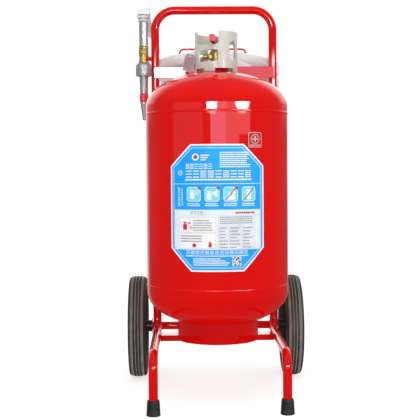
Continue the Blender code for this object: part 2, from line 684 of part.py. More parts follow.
def hose():
    front = HANK_Y - HANK_HALF_WIDTH
    over_strap = OUTLET_Z + 0.006
    supply = [(0, 0.0983, OUTLET_Z), (0, 0.118, OUTLET_Z), (0.004, 0.148, over_strap - 0.002),
              (0.016, 0.185, over_strap), (0.020, 0.212, over_strap), (0.020, 0.230, over_strap),
              (0.020, front - GAP, over_strap)]
    tube("hose_supply", smooth_route(supply, 0.015), HOSE_RADIUS, CANVAS)
    hose_hank()
    fold = arc((NOZZLE_Y + FOLD_RADIUS, FOLD_Z), FOLD_RADIUS, 0, 180, 6)
    riser = [(-0.163, 0.2862, 1.004), (-0.166, 0.281, 1.020), (-0.176, 0.268, 1.045), (-0.197, 0.247, 1.075),
             (-0.210, 0.237, 1.100), *[(NOZZLE_X, y, z) for y, z in fold],
             (NOZZLE_X, NOZZLE_Y, TAIL_TOP + 0.010), (NOZZLE_X, NOZZLE_Y, TAIL_TOP + GAP)]
    tube("hose_riser", smooth_route(riser, 0.0110), 0.0115, CANVAS)


def nozzle():
    centre = (NOZZLE_X, NOZZLE_Y, 0)
    bore = 0.0085
    turned("nozzle_tail", [(bore, TAIL_TOP), (0.0120, TAIL_TOP), (0.0135, TAIL_TOP - 0.002),
                           (0.0135, 1.0273), (bore, 1.0273)], ALUMINIUM, centre, steps=16)
    for name, height in (("hose_clamp_upper", 1.1210), ("hose_clamp_lower", 1.1105)):
        turned(name, ring(0.0133, 0.0149, height - 0.0012, height + 0.0012), STEEL, centre, steps=16)
    turned("nozzle_coupling", [(bore, 1.0270), (0.0142, 1.0270), (0.0150, 1.0262), (0.0150, 1.0045), (0.0138, 1.0035),
                               (bore, 1.0035)], BRASS, centre, steps=16)
    turned("nozzle_nut", [(bore, 1.0032), (0.0138, 1.0032), (0.0150, 1.0022), (0.0150, 0.9990), (0.0140, 0.9980),
                          (0.0140, 0.9850), (0.0150, 0.9840), (0.0150, 0.9783), (bore, 0.9783)],
           BRASS, centre, steps=16)
    turned("nozzle_collar", [(0.0153, 0.9778), (0.0185, 0.9778), (0.0245, 0.9690), (0.0245, 0.9440),
                             (0.0180, 0.9363), (0.0153, 0.9363)], ALUMINIUM, parent=collar_axis, steps=8)
    turned("nozzle_barrel", [(bore, 0.9780), (0.0137, 0.9780), (0.0137, 0.9350), (0.0120, 0.8848),
                             (0.0110, 0.8846), (0.0110, 0.8605), (0.0075, 0.8603), (0.0075, 0.9300), (bore, 0.9400)],
           ALUMINIUM, centre, steps=16)
    turned("nozzle_band", [(0.0113, 0.8842), (0.0122, 0.8842), (0.0135, 0.8810), (0.0135, 0.8620), (0.0120, 0.8605),
                           (0.0113, 0.8605)], RED_PLASTIC, centre, steps=16)
    turned("nozzle_tip", [(0.0050, 0.8600), (0.0118, 0.8600), (0.0110, 0.8480), (0.0062, 0.8060), (0.0055, 0.8050),
                          (0.0040, 0.8050)], ALUMINIUM, centre, steps=16)


def hang_tag():
    """A card that leans on the guard's left side."""
    outline = [(-0.016, 0), (0.016, 0), (0.016, 0.040), (0.009, 0.048), (-0.009, 0.048), (-0.016, 0.040)]
    plate("hang_tag", outline, 0.0008, CARD, (-0.0815, -0.014, 0.9275),
          (math.radians(90), math.radians(5), math.radians(-18)))


# The whole part

clear_scene()
parts = new_collection("wheeled_fire_extinguisher")
cutters = new_collection("cutters", hidden=True)
trolley = empty("trolley_frame", (0, TANK_Y, 0))
lever_side = empty("lever_side", (0, 0, 0), trolley, (0, 0, LEVER_TURN))
collar_axis = empty("collar_axis", (NOZZLE_X, NOZZLE_Y, 0), trolley)

handle_hoop()
frame_bars()
axle()
hose_rack()
nozzle_bracket()
for word, side in (("left", -1), ("right", 1)):
    leg(f"{word}_leg", side)
    rubber_foot(f"{word}_foot", side)
    axle_bracket(f"axle_bracket_{word}", side)
    tyre(f"tyre_{word}", side)
    wheel_rim(f"wheel_rim_{word}", side)
    wheel_fittings(word, side)
tank_shell()
tank_fittings()
valve_guard()
valve_body()
valve_bonnet()
lever()
valve_inside()
lever_fasteners()
gauge()
outlet_fitting()
hose()
nozzle()
hang_tag()
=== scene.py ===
"""Looks of a wheeled fire extinguisher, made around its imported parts.

Places are in the parts' own frame, in metres: the front faces -Y and +X is right, seen from the front.
Most pieces are made in the tank's frame, whose axis is at x = 0, y = 0, and moved by TANK_Y.
"""
import json
import math
import random

import bmesh
import bpy
from mathutils import Matrix, Vector, noise

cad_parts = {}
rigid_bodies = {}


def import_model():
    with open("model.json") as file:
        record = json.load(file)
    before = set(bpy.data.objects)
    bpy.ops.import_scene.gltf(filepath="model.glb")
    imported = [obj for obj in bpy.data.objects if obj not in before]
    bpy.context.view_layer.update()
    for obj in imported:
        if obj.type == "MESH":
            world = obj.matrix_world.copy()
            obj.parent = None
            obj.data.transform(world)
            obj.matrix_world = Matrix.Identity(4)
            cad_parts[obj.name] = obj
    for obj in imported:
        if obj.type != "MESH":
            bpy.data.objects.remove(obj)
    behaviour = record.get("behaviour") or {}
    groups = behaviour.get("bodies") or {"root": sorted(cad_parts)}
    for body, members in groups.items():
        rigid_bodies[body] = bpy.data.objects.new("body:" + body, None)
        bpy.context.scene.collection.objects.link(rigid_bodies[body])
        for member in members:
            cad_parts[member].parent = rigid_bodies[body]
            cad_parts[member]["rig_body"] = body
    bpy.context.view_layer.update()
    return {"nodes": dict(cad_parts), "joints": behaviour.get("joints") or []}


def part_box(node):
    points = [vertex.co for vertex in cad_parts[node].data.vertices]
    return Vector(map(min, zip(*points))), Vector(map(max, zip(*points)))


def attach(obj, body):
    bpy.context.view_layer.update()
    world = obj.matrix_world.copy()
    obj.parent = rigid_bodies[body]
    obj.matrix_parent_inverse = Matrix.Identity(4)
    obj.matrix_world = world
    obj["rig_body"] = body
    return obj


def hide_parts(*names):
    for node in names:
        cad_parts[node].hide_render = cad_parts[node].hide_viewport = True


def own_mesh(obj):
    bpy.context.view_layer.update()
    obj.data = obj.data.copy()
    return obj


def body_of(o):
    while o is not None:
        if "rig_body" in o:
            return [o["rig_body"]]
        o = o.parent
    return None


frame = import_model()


def middle(node):
    low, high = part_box(node)
    return (low + high) / 2


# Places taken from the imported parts
tank_low, tank_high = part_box("tank_shell")
TANK_Y = (tank_low.y + tank_high.y) / 2
TANK_RADIUS = (tank_high.x - tank_low.x) / 2
leg_low, leg_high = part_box("left_leg")
TUBE_RADIUS = (leg_high.x - leg_low.x) / 2
HALF_TRACK = -middle("left_leg").x
UPRIGHT_Y = middle("handle_hoop").y - TANK_Y
FRONT_LEG_Y = leg_low.y + TUBE_RADIUS - TANK_Y
HANDLE_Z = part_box("handle_hoop")[1].z - TUBE_RADIUS
HOOP_FOOT_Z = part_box("handle_hoop")[0].z
WHEEL_X = middle("tyre_right").x
AXLE_Y = middle("tyre_right").y - TANK_Y
AXLE_Z = middle("tyre_right").z
WHEEL_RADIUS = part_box("tyre_right")[1].z - AXLE_Z
GUARD_RADIUS = (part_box("valve_guard")[1].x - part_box("valve_guard")[0].x) / 2
GUARD_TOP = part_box("valve_guard")[1].z
NOZZLE_X = middle("nozzle_barrel").x
NOZZLE_Y = middle("nozzle_barrel").y - TANK_Y
HANK_LOW, HANK_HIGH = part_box("hose_hank")
LEVER = next(j for j in frame["joints"] if j["name"] == "lever_lift")
LEVER_TURN = math.atan2(-LEVER["axis"][1], -LEVER["axis"][0])
PIVOT_Z = LEVER["pos_m"][2]

CHASSIS_Z = 0.160
HANDLE_BEND = 0.060
ELBOW_BEND = 0.045
UPPER_SEAM_Z = 0.810
LOWER_SEAM_Z = 0.330
OUTLET_Z = 0.985
GAUGE_Z = 0.972
HOSE_RADIUS = 0.0131
LABEL_TURN = math.radians(-1.5)
LABEL_Z = 0.552
DISH_HEIGHT = 0.100            # of the tank's two domed ends
NECK_RADIUS = 0.035            # of the hole in the upper one
RING_WALL = 0.003              # of the foot ring and the valve guard
AXLE_BORE = 0.0084
FIT = 0.0003                   # between parts that are set against each other

SIDES = (("left", -1), ("right", 1))
FORWARD = (math.radians(90), 0, 0)                   # stands a flat piece up, facing the front
ALONG_X = (0, math.radians(90), 0)                   # lays a turned piece along X
ALONG_Y = (math.radians(-90), 0, 0)                  # or along Y, towards the back
TO_THE_LEFT = (0, math.radians(-90), 0)
ACROSS = (math.radians(90), 0, math.radians(90))     # draws a side view's outline across X


# Mesh helpers

def mesh_of(name, points, faces):
    mesh = bpy.data.meshes.new(name)
    mesh.from_pydata([tuple(p) for p in points], [], faces)
    bm = bmesh.new()
    bm.from_mesh(mesh)
    bmesh.ops.recalc_face_normals(bm, faces=bm.faces)
    bm.to_mesh(mesh)
    bm.free()
    return mesh


def arc(centre, radius, start, end, steps):
    """Points on a circle from one angle to another, in degrees."""
    angles = [math.radians(start + (end - start) * i / steps) for i in range(steps + 1)]
    return [(centre[0] + radius * math.cos(a), centre[1] + radius * math.sin(a)) for a in angles]


def mirrored(points):
    return [(-x, y, z) for x, y, z in points]


def eased(points, radius, closed=False, steps=3):
    """The outline, flat or in space, with its corners rounded."""
    corners = [Vector(p) for p in points]
    out = []
    for i, p in enumerate(corners):
        if not closed and i in (0, len(corners) - 1):
            out.append(p)
            continue
        a, b = corners[i - 1] - p, corners[(i + 1) % len(corners)] - p
        reach = min(radius, 0.45 * a.length, 0.45 * b.length)
        start, end = p + a.normalized() * reach, p + b.normalized() * reach
        for k in range(steps + 1):
            t = k / steps
            out.append((1 - t) ** 2 * start + 2 * t * (1 - t) * p + t * t * end)
    return [tuple(p) for p in out]


def sleeve(inner, outer, low, high, rounding):
    """A ring's section for lathe(), with its corners rounded."""
    return eased([(inner, low), (outer, low), (outer, high), (inner, high)], rounding, closed=True)


def lathe(name, profile, steps=64, closed=False, shape=None):
    """A profile of (radius, height) turned about Z. shape(angle, radius, height) may change a radius."""
    points, rows, faces = [], [], []
    for radius, height in profile:
        if radius < 1e-6:
            rows.append([len(points)] * steps)
            points.append((0, 0, height))
            continue
        rows.append([len(points) + i for i in range(steps)])
        for i in range(steps):
            a = 2 * math.pi * i / steps
            r = shape(a, radius, height) if shape else radius
            points.append((r * math.cos(a), r * math.sin(a), height))
    for low, high in list(zip(rows, rows[1:])) + ([(rows[-1], rows[0])] if closed else []):
        for i in range(steps):
            j = (i + 1) % steps
            corners = list(dict.fromkeys((low[i], low[j], high[j], high[i])))
            if len(corners) > 2:
                faces.append(corners)
    return mesh_of(name, points, faces)


def frames_along(path, hints=None):
    """A (tangent, side, normal) frame at each point.

    The side follows the hints, or turns as little as it can.
    """
    path = [Vector(p) for p in path]
    made, side = [], None
    for i in range(len(path)):
        tangent = (path[min(i + 1, len(path) - 1)] - path[max(i - 1, 0)]).normalized()
        if hints:
            side = Vector(hints[i])
        elif side is None:
            side = Vector((0, 0, 1)) if abs(tangent.z) < 0.9 else Vector((1, 0, 0))
        side = (side - side.dot(tangent) * tangent).normalized()
        made.append((tangent, side, tangent.cross(side)))
    return made


def angles_round(sides):
    return [2 * math.pi * k / sides for k in range(sides)]


def skin(name, points, sides, looped=False):
    """A tube's skin over rings of points, closed by two flat ends or into a loop."""
    rings, faces = len(points) // sides, []
    for i in range(rings if looped else rings - 1):
        for k in range(sides):
            a, b = i * sides, (i + 1) % rings * sides
            faces.append((a + k, a + (k + 1) % sides, b + (k + 1) % sides, b + k))
    if not looped:
        faces += [tuple(reversed(range(sides))), tuple(range((rings - 1) * sides, rings * sides))]
    return mesh_of(name, points, faces)


def sweep(name, path, radius, sides=24):
    """A round bar along a path."""
    points = []
    for p, (_, side, normal) in zip(path, frames_along(path)):
        for a in angles_round(sides):
            points.append(Vector(p) + side * (radius * math.cos(a)) + normal * (radius * math.sin(a)))
    return skin(name, points, sides)


def prism(name, outline, low, high):
    """A flat outline in XY, from one height to another."""
    count = len(outline)
    points = [(x, y, low) for x, y in outline] + [(x, y, high) for x, y in outline]
    faces = [tuple(reversed(range(count))), tuple(range(count, 2 * count))]
    faces += [(i, (i + 1) % count, count + (i + 1) % count, count + i) for i in range(count)]
    return mesh_of(name, points, faces)


def block(name, low, high):
    return prism(name, [(low[0], low[1]), (high[0], low[1]), (high[0], high[1]), (low[0], high[1])],
                 low[2], high[2])


def moved(mesh, at=(0, 0, 0), turn=(0, 0, 0)):
    rotation = Matrix.Rotation(turn[2], 4, "Z") @ Matrix.Rotation(turn[1], 4, "Y") @ Matrix.Rotation(turn[0],
                                                                                                     4, "X")
    mesh.transform(Matrix.Translation(at) @ rotation)
    return mesh


def with_modifier(mesh, kind, **settings):
    """The mesh after one modifier."""
    obj = bpy.data.objects.new("work", mesh)
    bpy.context.scene.collection.objects.link(obj)
    modifier = obj.modifiers.new("work", kind)
    for key, value in settings.items():
        setattr(modifier, key, value)
    bpy.context.view_layer.update()
    done = bpy.data.meshes.new_from_object(obj.evaluated_get(bpy.context.evaluated_depsgraph_get()))
    bpy.data.objects.remove(obj)
    return done


def combined(mesh, *tools, operation="DIFFERENCE"):
    for tool_mesh in tools:
        tool = bpy.data.objects.new("tool", tool_mesh)
        bpy.context.scene.collection.objects.link(tool)
        mesh = with_modifier(mesh, "BOOLEAN", operation=operation, object=tool, solver="EXACT")
        bpy.data.objects.remove(tool)
    return mesh


def bevelled(mesh, width, segments=2, angle=40):
    return with_modifier(mesh, "BEVEL", width=width, segments=segments, limit_method="ANGLE",
                         angle_limit=math.radians(angle), harden_normals=False)


def joined(name, *meshes):
    """Several meshes as one, each keeping its own material numbers."""
    bm = bmesh.new()
    for mesh in meshes:
        bm.from_mesh(mesh)
    made = bpy.data.meshes.new(name)
    bm.to_mesh(made)
    bm.free()
    return made


def hexagon(across):
    """A shape for lathe() that keeps inside a hexagon."""
    return lambda a, r, z: min(r, across / 2 / math.cos(a % (math.pi / 3) - math.pi / 6))


# Materials

def nodes_of(name):
    made = bpy.data.materials.new(name)
    made.use_nodes = True
    return made, made.node_tree, made.node_tree.nodes["Principled BSDF"]


def node(tree, kind, inputs=(), **settings):
    """A node with its settings, and its inputs given by index or name as values or as sockets."""
    made = tree.nodes.new(kind)
    for key, value in settings.items():
        setattr(made, key, value)
    for key, value in dict(inputs).items():
        if isinstance(value, bpy.types.NodeSocket):
            tree.links.new(value, made.inputs[key])
        else:
            made.inputs[key].default_value = value
    return made


def maths(tree, operation, a, b=0.0, c=0.0):
    return node(tree, "ShaderNodeMath", {0: a, 1: b, 2: c}, operation=operation).outputs[0]


def mixed(tree, factor, a, b):
    """Two colours mixed."""
    made = node(tree, "ShaderNodeMix", {0: factor}, data_type="RGBA")
    for index, value in ((6, a), (7, b)):
        if isinstance(value, bpy.types.NodeSocket):
            tree.links.new(value, made.inputs[index])
        else:
            made.inputs[index].default_value = (*value, 1)
    return made.outputs[2]


def ranged(tree, value, low, high, new_low=0.0, new_high=1.0):
    inputs = {0: value, 1: low, 2: high, 3: new_low, 4: new_high}
    return node(tree, "ShaderNodeMapRange", inputs).outputs[0]


def noisy(tree, place, scale, detail=3.0, stretch=(1, 1, 1)):
    mapped = node(tree, "ShaderNodeMapping", {0: place, 3: stretch})
    return node(tree, "ShaderNodeTexNoise",
                {0: mapped.outputs[0], "Scale": scale, "Detail": detail}).outputs[0]


def finish(name, dark, light, grain, rough, bump, stretch=(1, 1, 1), metallic=0.0, coat=0.0, spots=None):
    """A surface whose colour and gloss vary with one noise and whose relief follows a finer one.

    bump is (scale, depth in metres). spots is (colour, scale, share) of marks left on it by use.
    """
    made, tree, shader = nodes_of(name)
    place = node(tree, "ShaderNodeTexCoord").outputs["Object"]
    cloud = noisy(tree, place, grain, 4.0, stretch)
    colour = mixed(tree, ranged(tree, cloud, 0.3, 0.7), dark, light)
    gloss = ranged(tree, cloud, 0.3, 0.7, *rough)
    if spots:
        mark_colour, mark_scale, share = spots
        marks = ranged(tree, noisy(tree, place, mark_scale, 6.0), 1 - share, 1.02 - share)
        colour = mixed(tree, maths(tree, "MULTIPLY", marks, 0.7), colour, mark_colour)
        gloss = maths(tree, "ADD", gloss, maths(tree, "MULTIPLY", marks, 0.2))
    tree.links.new(colour, shader.inputs["Base Color"])
    tree.links.new(gloss, shader.inputs["Roughness"])
    relief = node(tree, "ShaderNodeBump", {"Height": noisy(tree, place, bump[0], 2.0, stretch),
                                           "Strength": 1.0, "Distance": bump[1]})
    tree.links.new(relief.outputs[0], shader.inputs["Normal"])
    lacquered = coat == 1.0        # a full coat carries the whole gloss
    for key, value in (("Metallic", metallic), ("Coat Weight", coat), ("Coat Roughness", 0.03),
                       ("Coat IOR", 1.6 if lacquered else 1.5),
                       ("Specular IOR Level", 0.0 if lacquered else 0.5)):
        shader.inputs[key].default_value = value
    return made


def tyre_material():
    """Black rubber with pale dust in the tread's grooves and on the side walls."""
    made = finish("tyre_rubber", (0.016, 0.016, 0.016), (0.035, 0.034, 0.033), 60, (0.55, 0.75),
                  (700, 0.0002))
    tree, shader = made.node_tree, made.node_tree.nodes["Principled BSDF"]
    place = node(tree, "ShaderNodeTexCoord").outputs["Object"]
    x, y, z = node(tree, "ShaderNodeSeparateXYZ", {0: place}).outputs
    radius = maths(tree, "SQRT",
                   maths(tree, "ADD", maths(tree, "MULTIPLY", x, x), maths(tree, "MULTIPLY", y, y)))
    in_tread = ranged(tree, radius, WHEEL_RADIUS - 0.0070, WHEEL_RADIUS - 0.0060)
    below = ranged(tree, radius, WHEEL_RADIUS - 0.0012, WHEEL_RADIUS - 0.0025)
    near_middle = ranged(tree, maths(tree, "ABSOLUTE", z), 0.0205, 0.0175)
    groove = maths(tree, "MULTIPLY", maths(tree, "MULTIPLY", in_tread, below), near_middle)
    patch = ranged(tree, noisy(tree, place, 45, 5.0), 0.35, 0.65, 0.70, 1.0)
    old = shader.inputs["Base Color"].links[0].from_socket
    dusty = mixed(tree, maths(tree, "MULTIPLY", groove, patch), old, (0.37, 0.35, 0.31))
    scuffs = ranged(tree, noisy(tree, place, 160, 6.0), 0.62, 0.72, 0.0, 0.35)
    tree.links.new(mixed(tree, scuffs, dusty, (0.16, 0.15, 0.14)), shader.inputs["Base Color"])
    return made


def canvas_material():
    """Woven hose canvas, laid out by length and girth, with one stitched line along it."""
    made, tree, shader = nodes_of("hose_canvas")
    place = node(tree, "ShaderNodeTexCoord").outputs["UV"]
    along, around, _ = node(tree, "ShaderNodeSeparateXYZ", {0: place}).outputs
    thread = 2 * math.pi / 0.0016
    slant = maths(tree, "SINE", maths(tree, "MULTIPLY", maths(tree, "ADD", along, around), thread))
    weft = maths(tree, "SINE", maths(tree, "MULTIPLY", maths(tree, "SUBTRACT", along, around), thread))
    weave = maths(tree, "MULTIPLY", slant, weft)
    stain = noisy(tree, place, 22, 5.0)
    colour = mixed(tree, ranged(tree, stain, 0.3, 0.75), (0.79, 0.81, 0.81), (0.89, 0.91, 0.91))
    colour = mixed(tree, ranged(tree, weave, -1, 1, 0.0, 0.15), colour, (0.42, 0.41, 0.40))
    line = ranged(tree, maths(tree, "ABSOLUTE", maths(tree, "SUBTRACT", around, 0.0335)), 0.0008, 0.0005)
    dash = ranged(tree, maths(tree, "SINE", maths(tree, "MULTIPLY", along, 2 * math.pi / 0.005)), -0.1, 0.1)
    stitch = maths(tree, "MULTIPLY", line, dash)
    colour = mixed(tree, stitch, colour, (0.42, 0.22, 0.30))
    tree.links.new(colour, shader.inputs["Base Color"])
    tree.links.new(ranged(tree, stain, 0.3, 0.7, 0.75, 0.92), shader.inputs["Roughness"])
    relief = node(tree, "ShaderNodeBump", {"Height": weave, "Strength": 0.6, "Distance": 0.0004})
    tree.links.new(relief.outputs[0], shader.inputs["Normal"])
    shader.inputs["Sheen Weight"].default_value = 0.15
    return made


def glass_material():
    made = finish("lens_glass", (0.92, 0.95, 0.96), (0.97, 0.98, 0.98), 90, (0.02, 0.06), (400, 0.00002))
    made.node_tree.nodes["Principled BSDF"].inputs["Transmission Weight"].default_value = 0.95
    return made


def ink(name, colour):
    """Printing ink, without a coat."""
    lighter = [min(1.0, c * 1.12 + 0.002) for c in colour]
    made = finish(name, colour, lighter, 25, (0.32, 0.42), (300, 0.00004))
    made.node_tree.nodes["Principled BSDF"].inputs["Specular IOR Level"].default_value = 0.18
    return made


FINISHES = {
    "red_paint": ((0.62, 0.0018, 0.0010), (0.70, 0.0026, 0.0013), 6, (0.35, 0.45), (90, 0.00007),
                  {"coat": 1.0}),
    "beige_paint": ((0.52, 0.52, 0.46), (0.60, 0.60, 0.54), 30, (0.36, 0.5), (500, 0.0001),
                    {"coat": 0.1, "spots": ((0.33, 0.29, 0.24), 90, 0.28)}),
    "zinc_steel": ((0.46, 0.47, 0.49), (0.66, 0.66, 0.64), 120, (0.28, 0.45), (900, 0.00005),
                   {"metallic": 1.0}),
    "black_paint": ((0.016, 0.016, 0.017), (0.034, 0.034, 0.035), 35, (0.3, 0.45), (350, 0.0001),
                    {"coat": 0.3, "spots": ((0.18, 0.17, 0.16), 70, 0.27)}),
    "black_rubber": ((0.008, 0.008, 0.008), (0.024, 0.023, 0.022), 90, (0.5, 0.75), (420, 0.0004),
                     {"spots": ((0.30, 0.29, 0.27), 120, 0.30)}),
    "white_nylon": ((0.68, 0.68, 0.65), (0.80, 0.80, 0.78), 50, (0.4, 0.55), (300, 0.0001), {}),
    "dial_face": ((0.82, 0.82, 0.80), (0.90, 0.90, 0.88), 200, (0.4, 0.5), (900, 0.00002), {}),
    "red_plastic": ((0.62, 0.022, 0.030), (0.76, 0.045, 0.055), 80, (0.25, 0.42), (500, 0.0001),
                    {"coat": 0.2}),
    "tag_card": ((0.30, 0.25, 0.28), (0.41, 0.35, 0.38), 70, (0.55, 0.7), (900, 0.00008), {}),
}
# Turned metals, with fine rings of tone round the piece's own axis: tones, roughness, share of metal
TURNED = {
    "brass": ((0.55, 0.38, 0.12), (0.72, 0.55, 0.23), (0.34, 0.48), 0.75),
    "aluminium": ((0.50, 0.52, 0.53), (0.64, 0.66, 0.67), (0.36, 0.50), 0.75),
    "chrome": ((0.80, 0.81, 0.82), (0.90, 0.90, 0.91), (0.12, 0.22), 0.55),
}
for metal_name, (dark_tone, light_tone, roughness, share_of_metal) in TURNED.items():
    rings = {"stretch": (2, 2, 60), "metallic": share_of_metal}
    FINISHES[metal_name] = (dark_tone, light_tone, 12, roughness, (14, 0.00006), rings)
INKS = {
    "label_white": (0.80, 0.80, 0.81), "label_blue": (0.003, 0.33, 0.86), "label_cyan": (0.16, 0.62, 0.86),
    "label_ice": (0.66, 0.74, 0.80), "label_grey": (0.28, 0.29, 0.31), "label_red": (0.60, 0.02, 0.02),
    "label_maroon": (0.36, 0.02, 0.02), "label_pink": (0.80, 0.42, 0.42), "label_green": (0.03, 0.36, 0.08),
    "label_yellow": (0.80, 0.55, 0.03), "label_black": (0.02, 0.02, 0.025),
}
OTHERS = {"tyre_rubber": tyre_material, "hose_canvas": canvas_material, "lens_glass": glass_material}


MADE = {}


def look(name):
    """The material of that name, made once."""
    if name not in MADE and name in FINISHES:
        *tones, settings = FINISHES[name]
        MADE[name] = finish(name, *tones, **settings)
    elif name not in MADE:
        MADE[name] = ink(name, INKS[name]) if name in INKS else OTHERS[name]()
    return MADE[name]


def piece(name, mesh, look_name, at=(0, 0, 0), turn=(0, 0, 0), body="trolley", angle=32):
    """A named piece of the object, placed in the tank's frame, riding on a body."""
    mesh.name = name
    mesh.materials.clear()
    mesh.materials.append(look(look_name))
    mesh.shade_smooth()
    mesh.set_sharp_from_angle(angle=math.radians(angle))
    obj = bpy.data.objects.new(name, mesh)
    bpy.context.scene.collection.objects.link(obj)
    obj.location = (at[0], at[1] + TANK_Y, at[2])
    obj.rotation_euler = turn
    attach(obj, body)
    return obj


def stand_in(node_name, mesh, look_name, at=(0, 0, 0), turn=(0, 0, 0), angle=32):
    """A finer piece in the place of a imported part, on the same body."""
    body = body_of(frame["nodes"][node_name])[0]
    obj = piece(node_name + "_fine", mesh, look_name, at, turn, body, angle)
    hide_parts(node_name)
    return obj


def turned(node_name, profile, look_name, at=(0, 0, 0), turn=(0, 0, 0), steps=48, closed=False, shape=None,
           angle=32):
    """A stand-in turned on a lathe."""
    return stand_in(node_name, lathe(node_name, profile, steps, closed, shape), look_name, at, turn, angle)


# Camera, lights and floor

def camera():
    data = bpy.data.cameras.new("camera")
    data.lens = 84.6
    data.sensor_width = 36
    data.clip_end = 60
    obj = bpy.data.objects.new("camera", data)
    yaw, pitch, roll = (math.radians(a) for a in (-1.28, 87.8, -0.4))
    obj.matrix_world = (Matrix.Translation((-0.083, -2.8 + TANK_Y, 0.647)) @ Matrix.Rotation(yaw, 4, "Z")
                        @ Matrix.Rotation(pitch, 4, "X") @ Matrix.Rotation(roll, 4, "Z"))
    bpy.context.scene.collection.objects.link(obj)
    bpy.context.scene.camera = obj


def lamp(name, at, target, size, strength, mirrored, colour=(1, 1, 1), outline="RECTANGLE"):
    """A soft light of a size and outline. strength is the brightness of its surface, as radiance.

    A mirrored lamp only shows in the gloss, and any other lamp only lights: so the two are set apart.
    """
    data = bpy.data.lights.new(name, "AREA")
    data.shape = outline
    data.size, data.size_y = size
    data.energy = strength * size[0] * size[1] * math.pi
    data.color = colour
    obj = bpy.data.objects.new(name, data)
    obj.location = at
    obj.rotation_euler = (Vector(at) - Vector(target)).to_track_quat("Z", "Y").to_euler()
    obj.visible_glossy = mirrored
    obj.visible_diffuse = not mirrored
    bpy.context.scene.collection.objects.link(obj)


def round_the_tank(name, turn, distance, height, size, strength, aim=0.75, mirrored=True, **settings):
    """A light that faces the tank's axis, turned to the right of the front by an angle in degrees."""
    angle = math.radians(turn)
    at = (distance * math.sin(angle), TANK_Y - distance * math.cos(angle), height)
    lamp(name, at, (0, TANK_Y, aim), size, strength, mirrored, **settings)


def lights():
    round_the_tank("window_left", -48, 3.9, 1.05, (3.60, 0.90), 0.30)
    round_the_tank("softbox_left", 0.6, 3.7, 1.08, (1.56, 0.80), 2.3, colour=(1.0, 0.80, 1.0))
    round_the_tank("softbox_middle", 22.7, 3.7, 1.08, (1.33, 0.80), 1.3, colour=(1.0, 0.85, 0.95))
    round_the_tank("softbox_right", 42.3, 3.7, 1.18, (1.23, 0.60), 1.3, colour=(1.0, 0.85, 0.95))
    round_the_tank("glow_left", -9.0, 3.35, 1.24, (1.12, 0.44), 4, 0.95, outline="ELLIPSE")
    round_the_tank("glow_right", 38.8, 3.35, 1.24, (1.62, 0.44), 4, 0.95, outline="ELLIPSE")
    round_the_tank("strobe_left", -9.0, 3.3, 1.225, (0.90, 0.35), 20, 0.95)
    round_the_tank("flash_right", 38.8, 3.3, 1.23, (1.36, 0.38), 24, 0.95, outline="ELLIPSE")
    round_the_tank("key", 40, 3.2, 2.0, (2.2, 2.2), 0.5, mirrored=False)
    lamp("top", (0, TANK_Y - 1.6, 3.2), (0, TANK_Y + 0.25, 0.95), (1.6, 1.6), 5.4, False)


def world():
    """Even pale light all round. In the gloss it is dark but for a pale part behind the object."""
    made = bpy.data.worlds.new("studio")
    made.use_nodes = True
    tree = made.node_tree
    place = node(tree, "ShaderNodeTexCoord").outputs["Generated"]
    x, y, z = node(tree, "ShaderNodeSeparateXYZ", {0: place}).outputs
    above = ranged(tree, z, 0.35, 0.85, 0.13, 0.20)
    below = ranged(tree, z, -0.30, 0.0, -0.05, 0.0)
    behind = ranged(tree, maths(tree, "SUBTRACT", y, maths(tree, "MULTIPLY", x, 0.12)), 0.86, 0.99, 0.0, 0.80)
    ceiling = maths(tree, "MULTIPLY", ranged(tree, z, 0.04, 0.20), ranged(tree, z, 0.80, 0.45))
    ceiling = maths(tree, "MULTIPLY", maths(tree, "MULTIPLY", ceiling, ranged(tree, y, 0.45, 0.75)), 1.2)
    gloss = maths(tree, "ADD", maths(tree, "ADD", above, below), maths(tree, "ADD", behind, ceiling))
    path = node(tree, "ShaderNodeLightPath").outputs
    mirrored = path["Is Glossy Ray"]
    seen = path["Is Camera Ray"]
    even = maths(tree, "ADD", ranged(tree, x, -1, 1, 0.58, 0.80), maths(tree, "MULTIPLY", seen, 0.45))
    even = maths(tree, "MULTIPLY", ranged(tree, mirrored, 0.0, 1.0, 1.0, 0.0), even)
    background = tree.nodes["Background"]
    background.inputs[0].default_value = (1.0, 1.0, 1.0, 1)
    tree.links.new(maths(tree, "ADD", even, maths(tree, "MULTIPLY", mirrored, gloss)), background.inputs[1])
    bpy.context.scene.world = made
    bpy.context.scene.view_settings.view_transform = "Standard"


def paper():
    """The backdrop's white paper, lit evenly."""
    made = finish("paper", (0.44, 0.44, 0.44), (0.48, 0.48, 0.48), 3, (0.8, 0.9), (60, 0.0003))
    shader = made.node_tree.nodes["Principled BSDF"]
    shader.inputs["Emission Color"].default_value = (1, 1, 1, 1)
    shader.inputs["Emission Strength"].default_value = 0.70
    shader.inputs["Specular IOR Level"].default_value = 0.0
    return made


def stage():
    """A pale floor that curves up into a backdrop."""
    half, front, back, bend, top = 9.0, -7.0, 4.0, 2.5, 7.0
    section = [(front, 0)] + [(y, z) for y, z in arc((back, bend), bend, -90, 0, 16)] + [(back + bend, top)]
    points = [(x, y, z) for y, z in section for x in (-half, half)]
    faces = [(2 * i, 2 * i + 1, 2 * i + 3, 2 * i + 2) for i in range(len(section) - 1)]
    mesh = bpy.data.meshes.new("backdrop")
    mesh.from_pydata(points, [], faces)
    mesh.shade_smooth()
    mesh.materials.append(paper())
    obj = bpy.data.objects.new("backdrop", mesh)
    obj.visible_glossy = False
    bpy.context.scene.collection.objects.link(obj)


# Hose

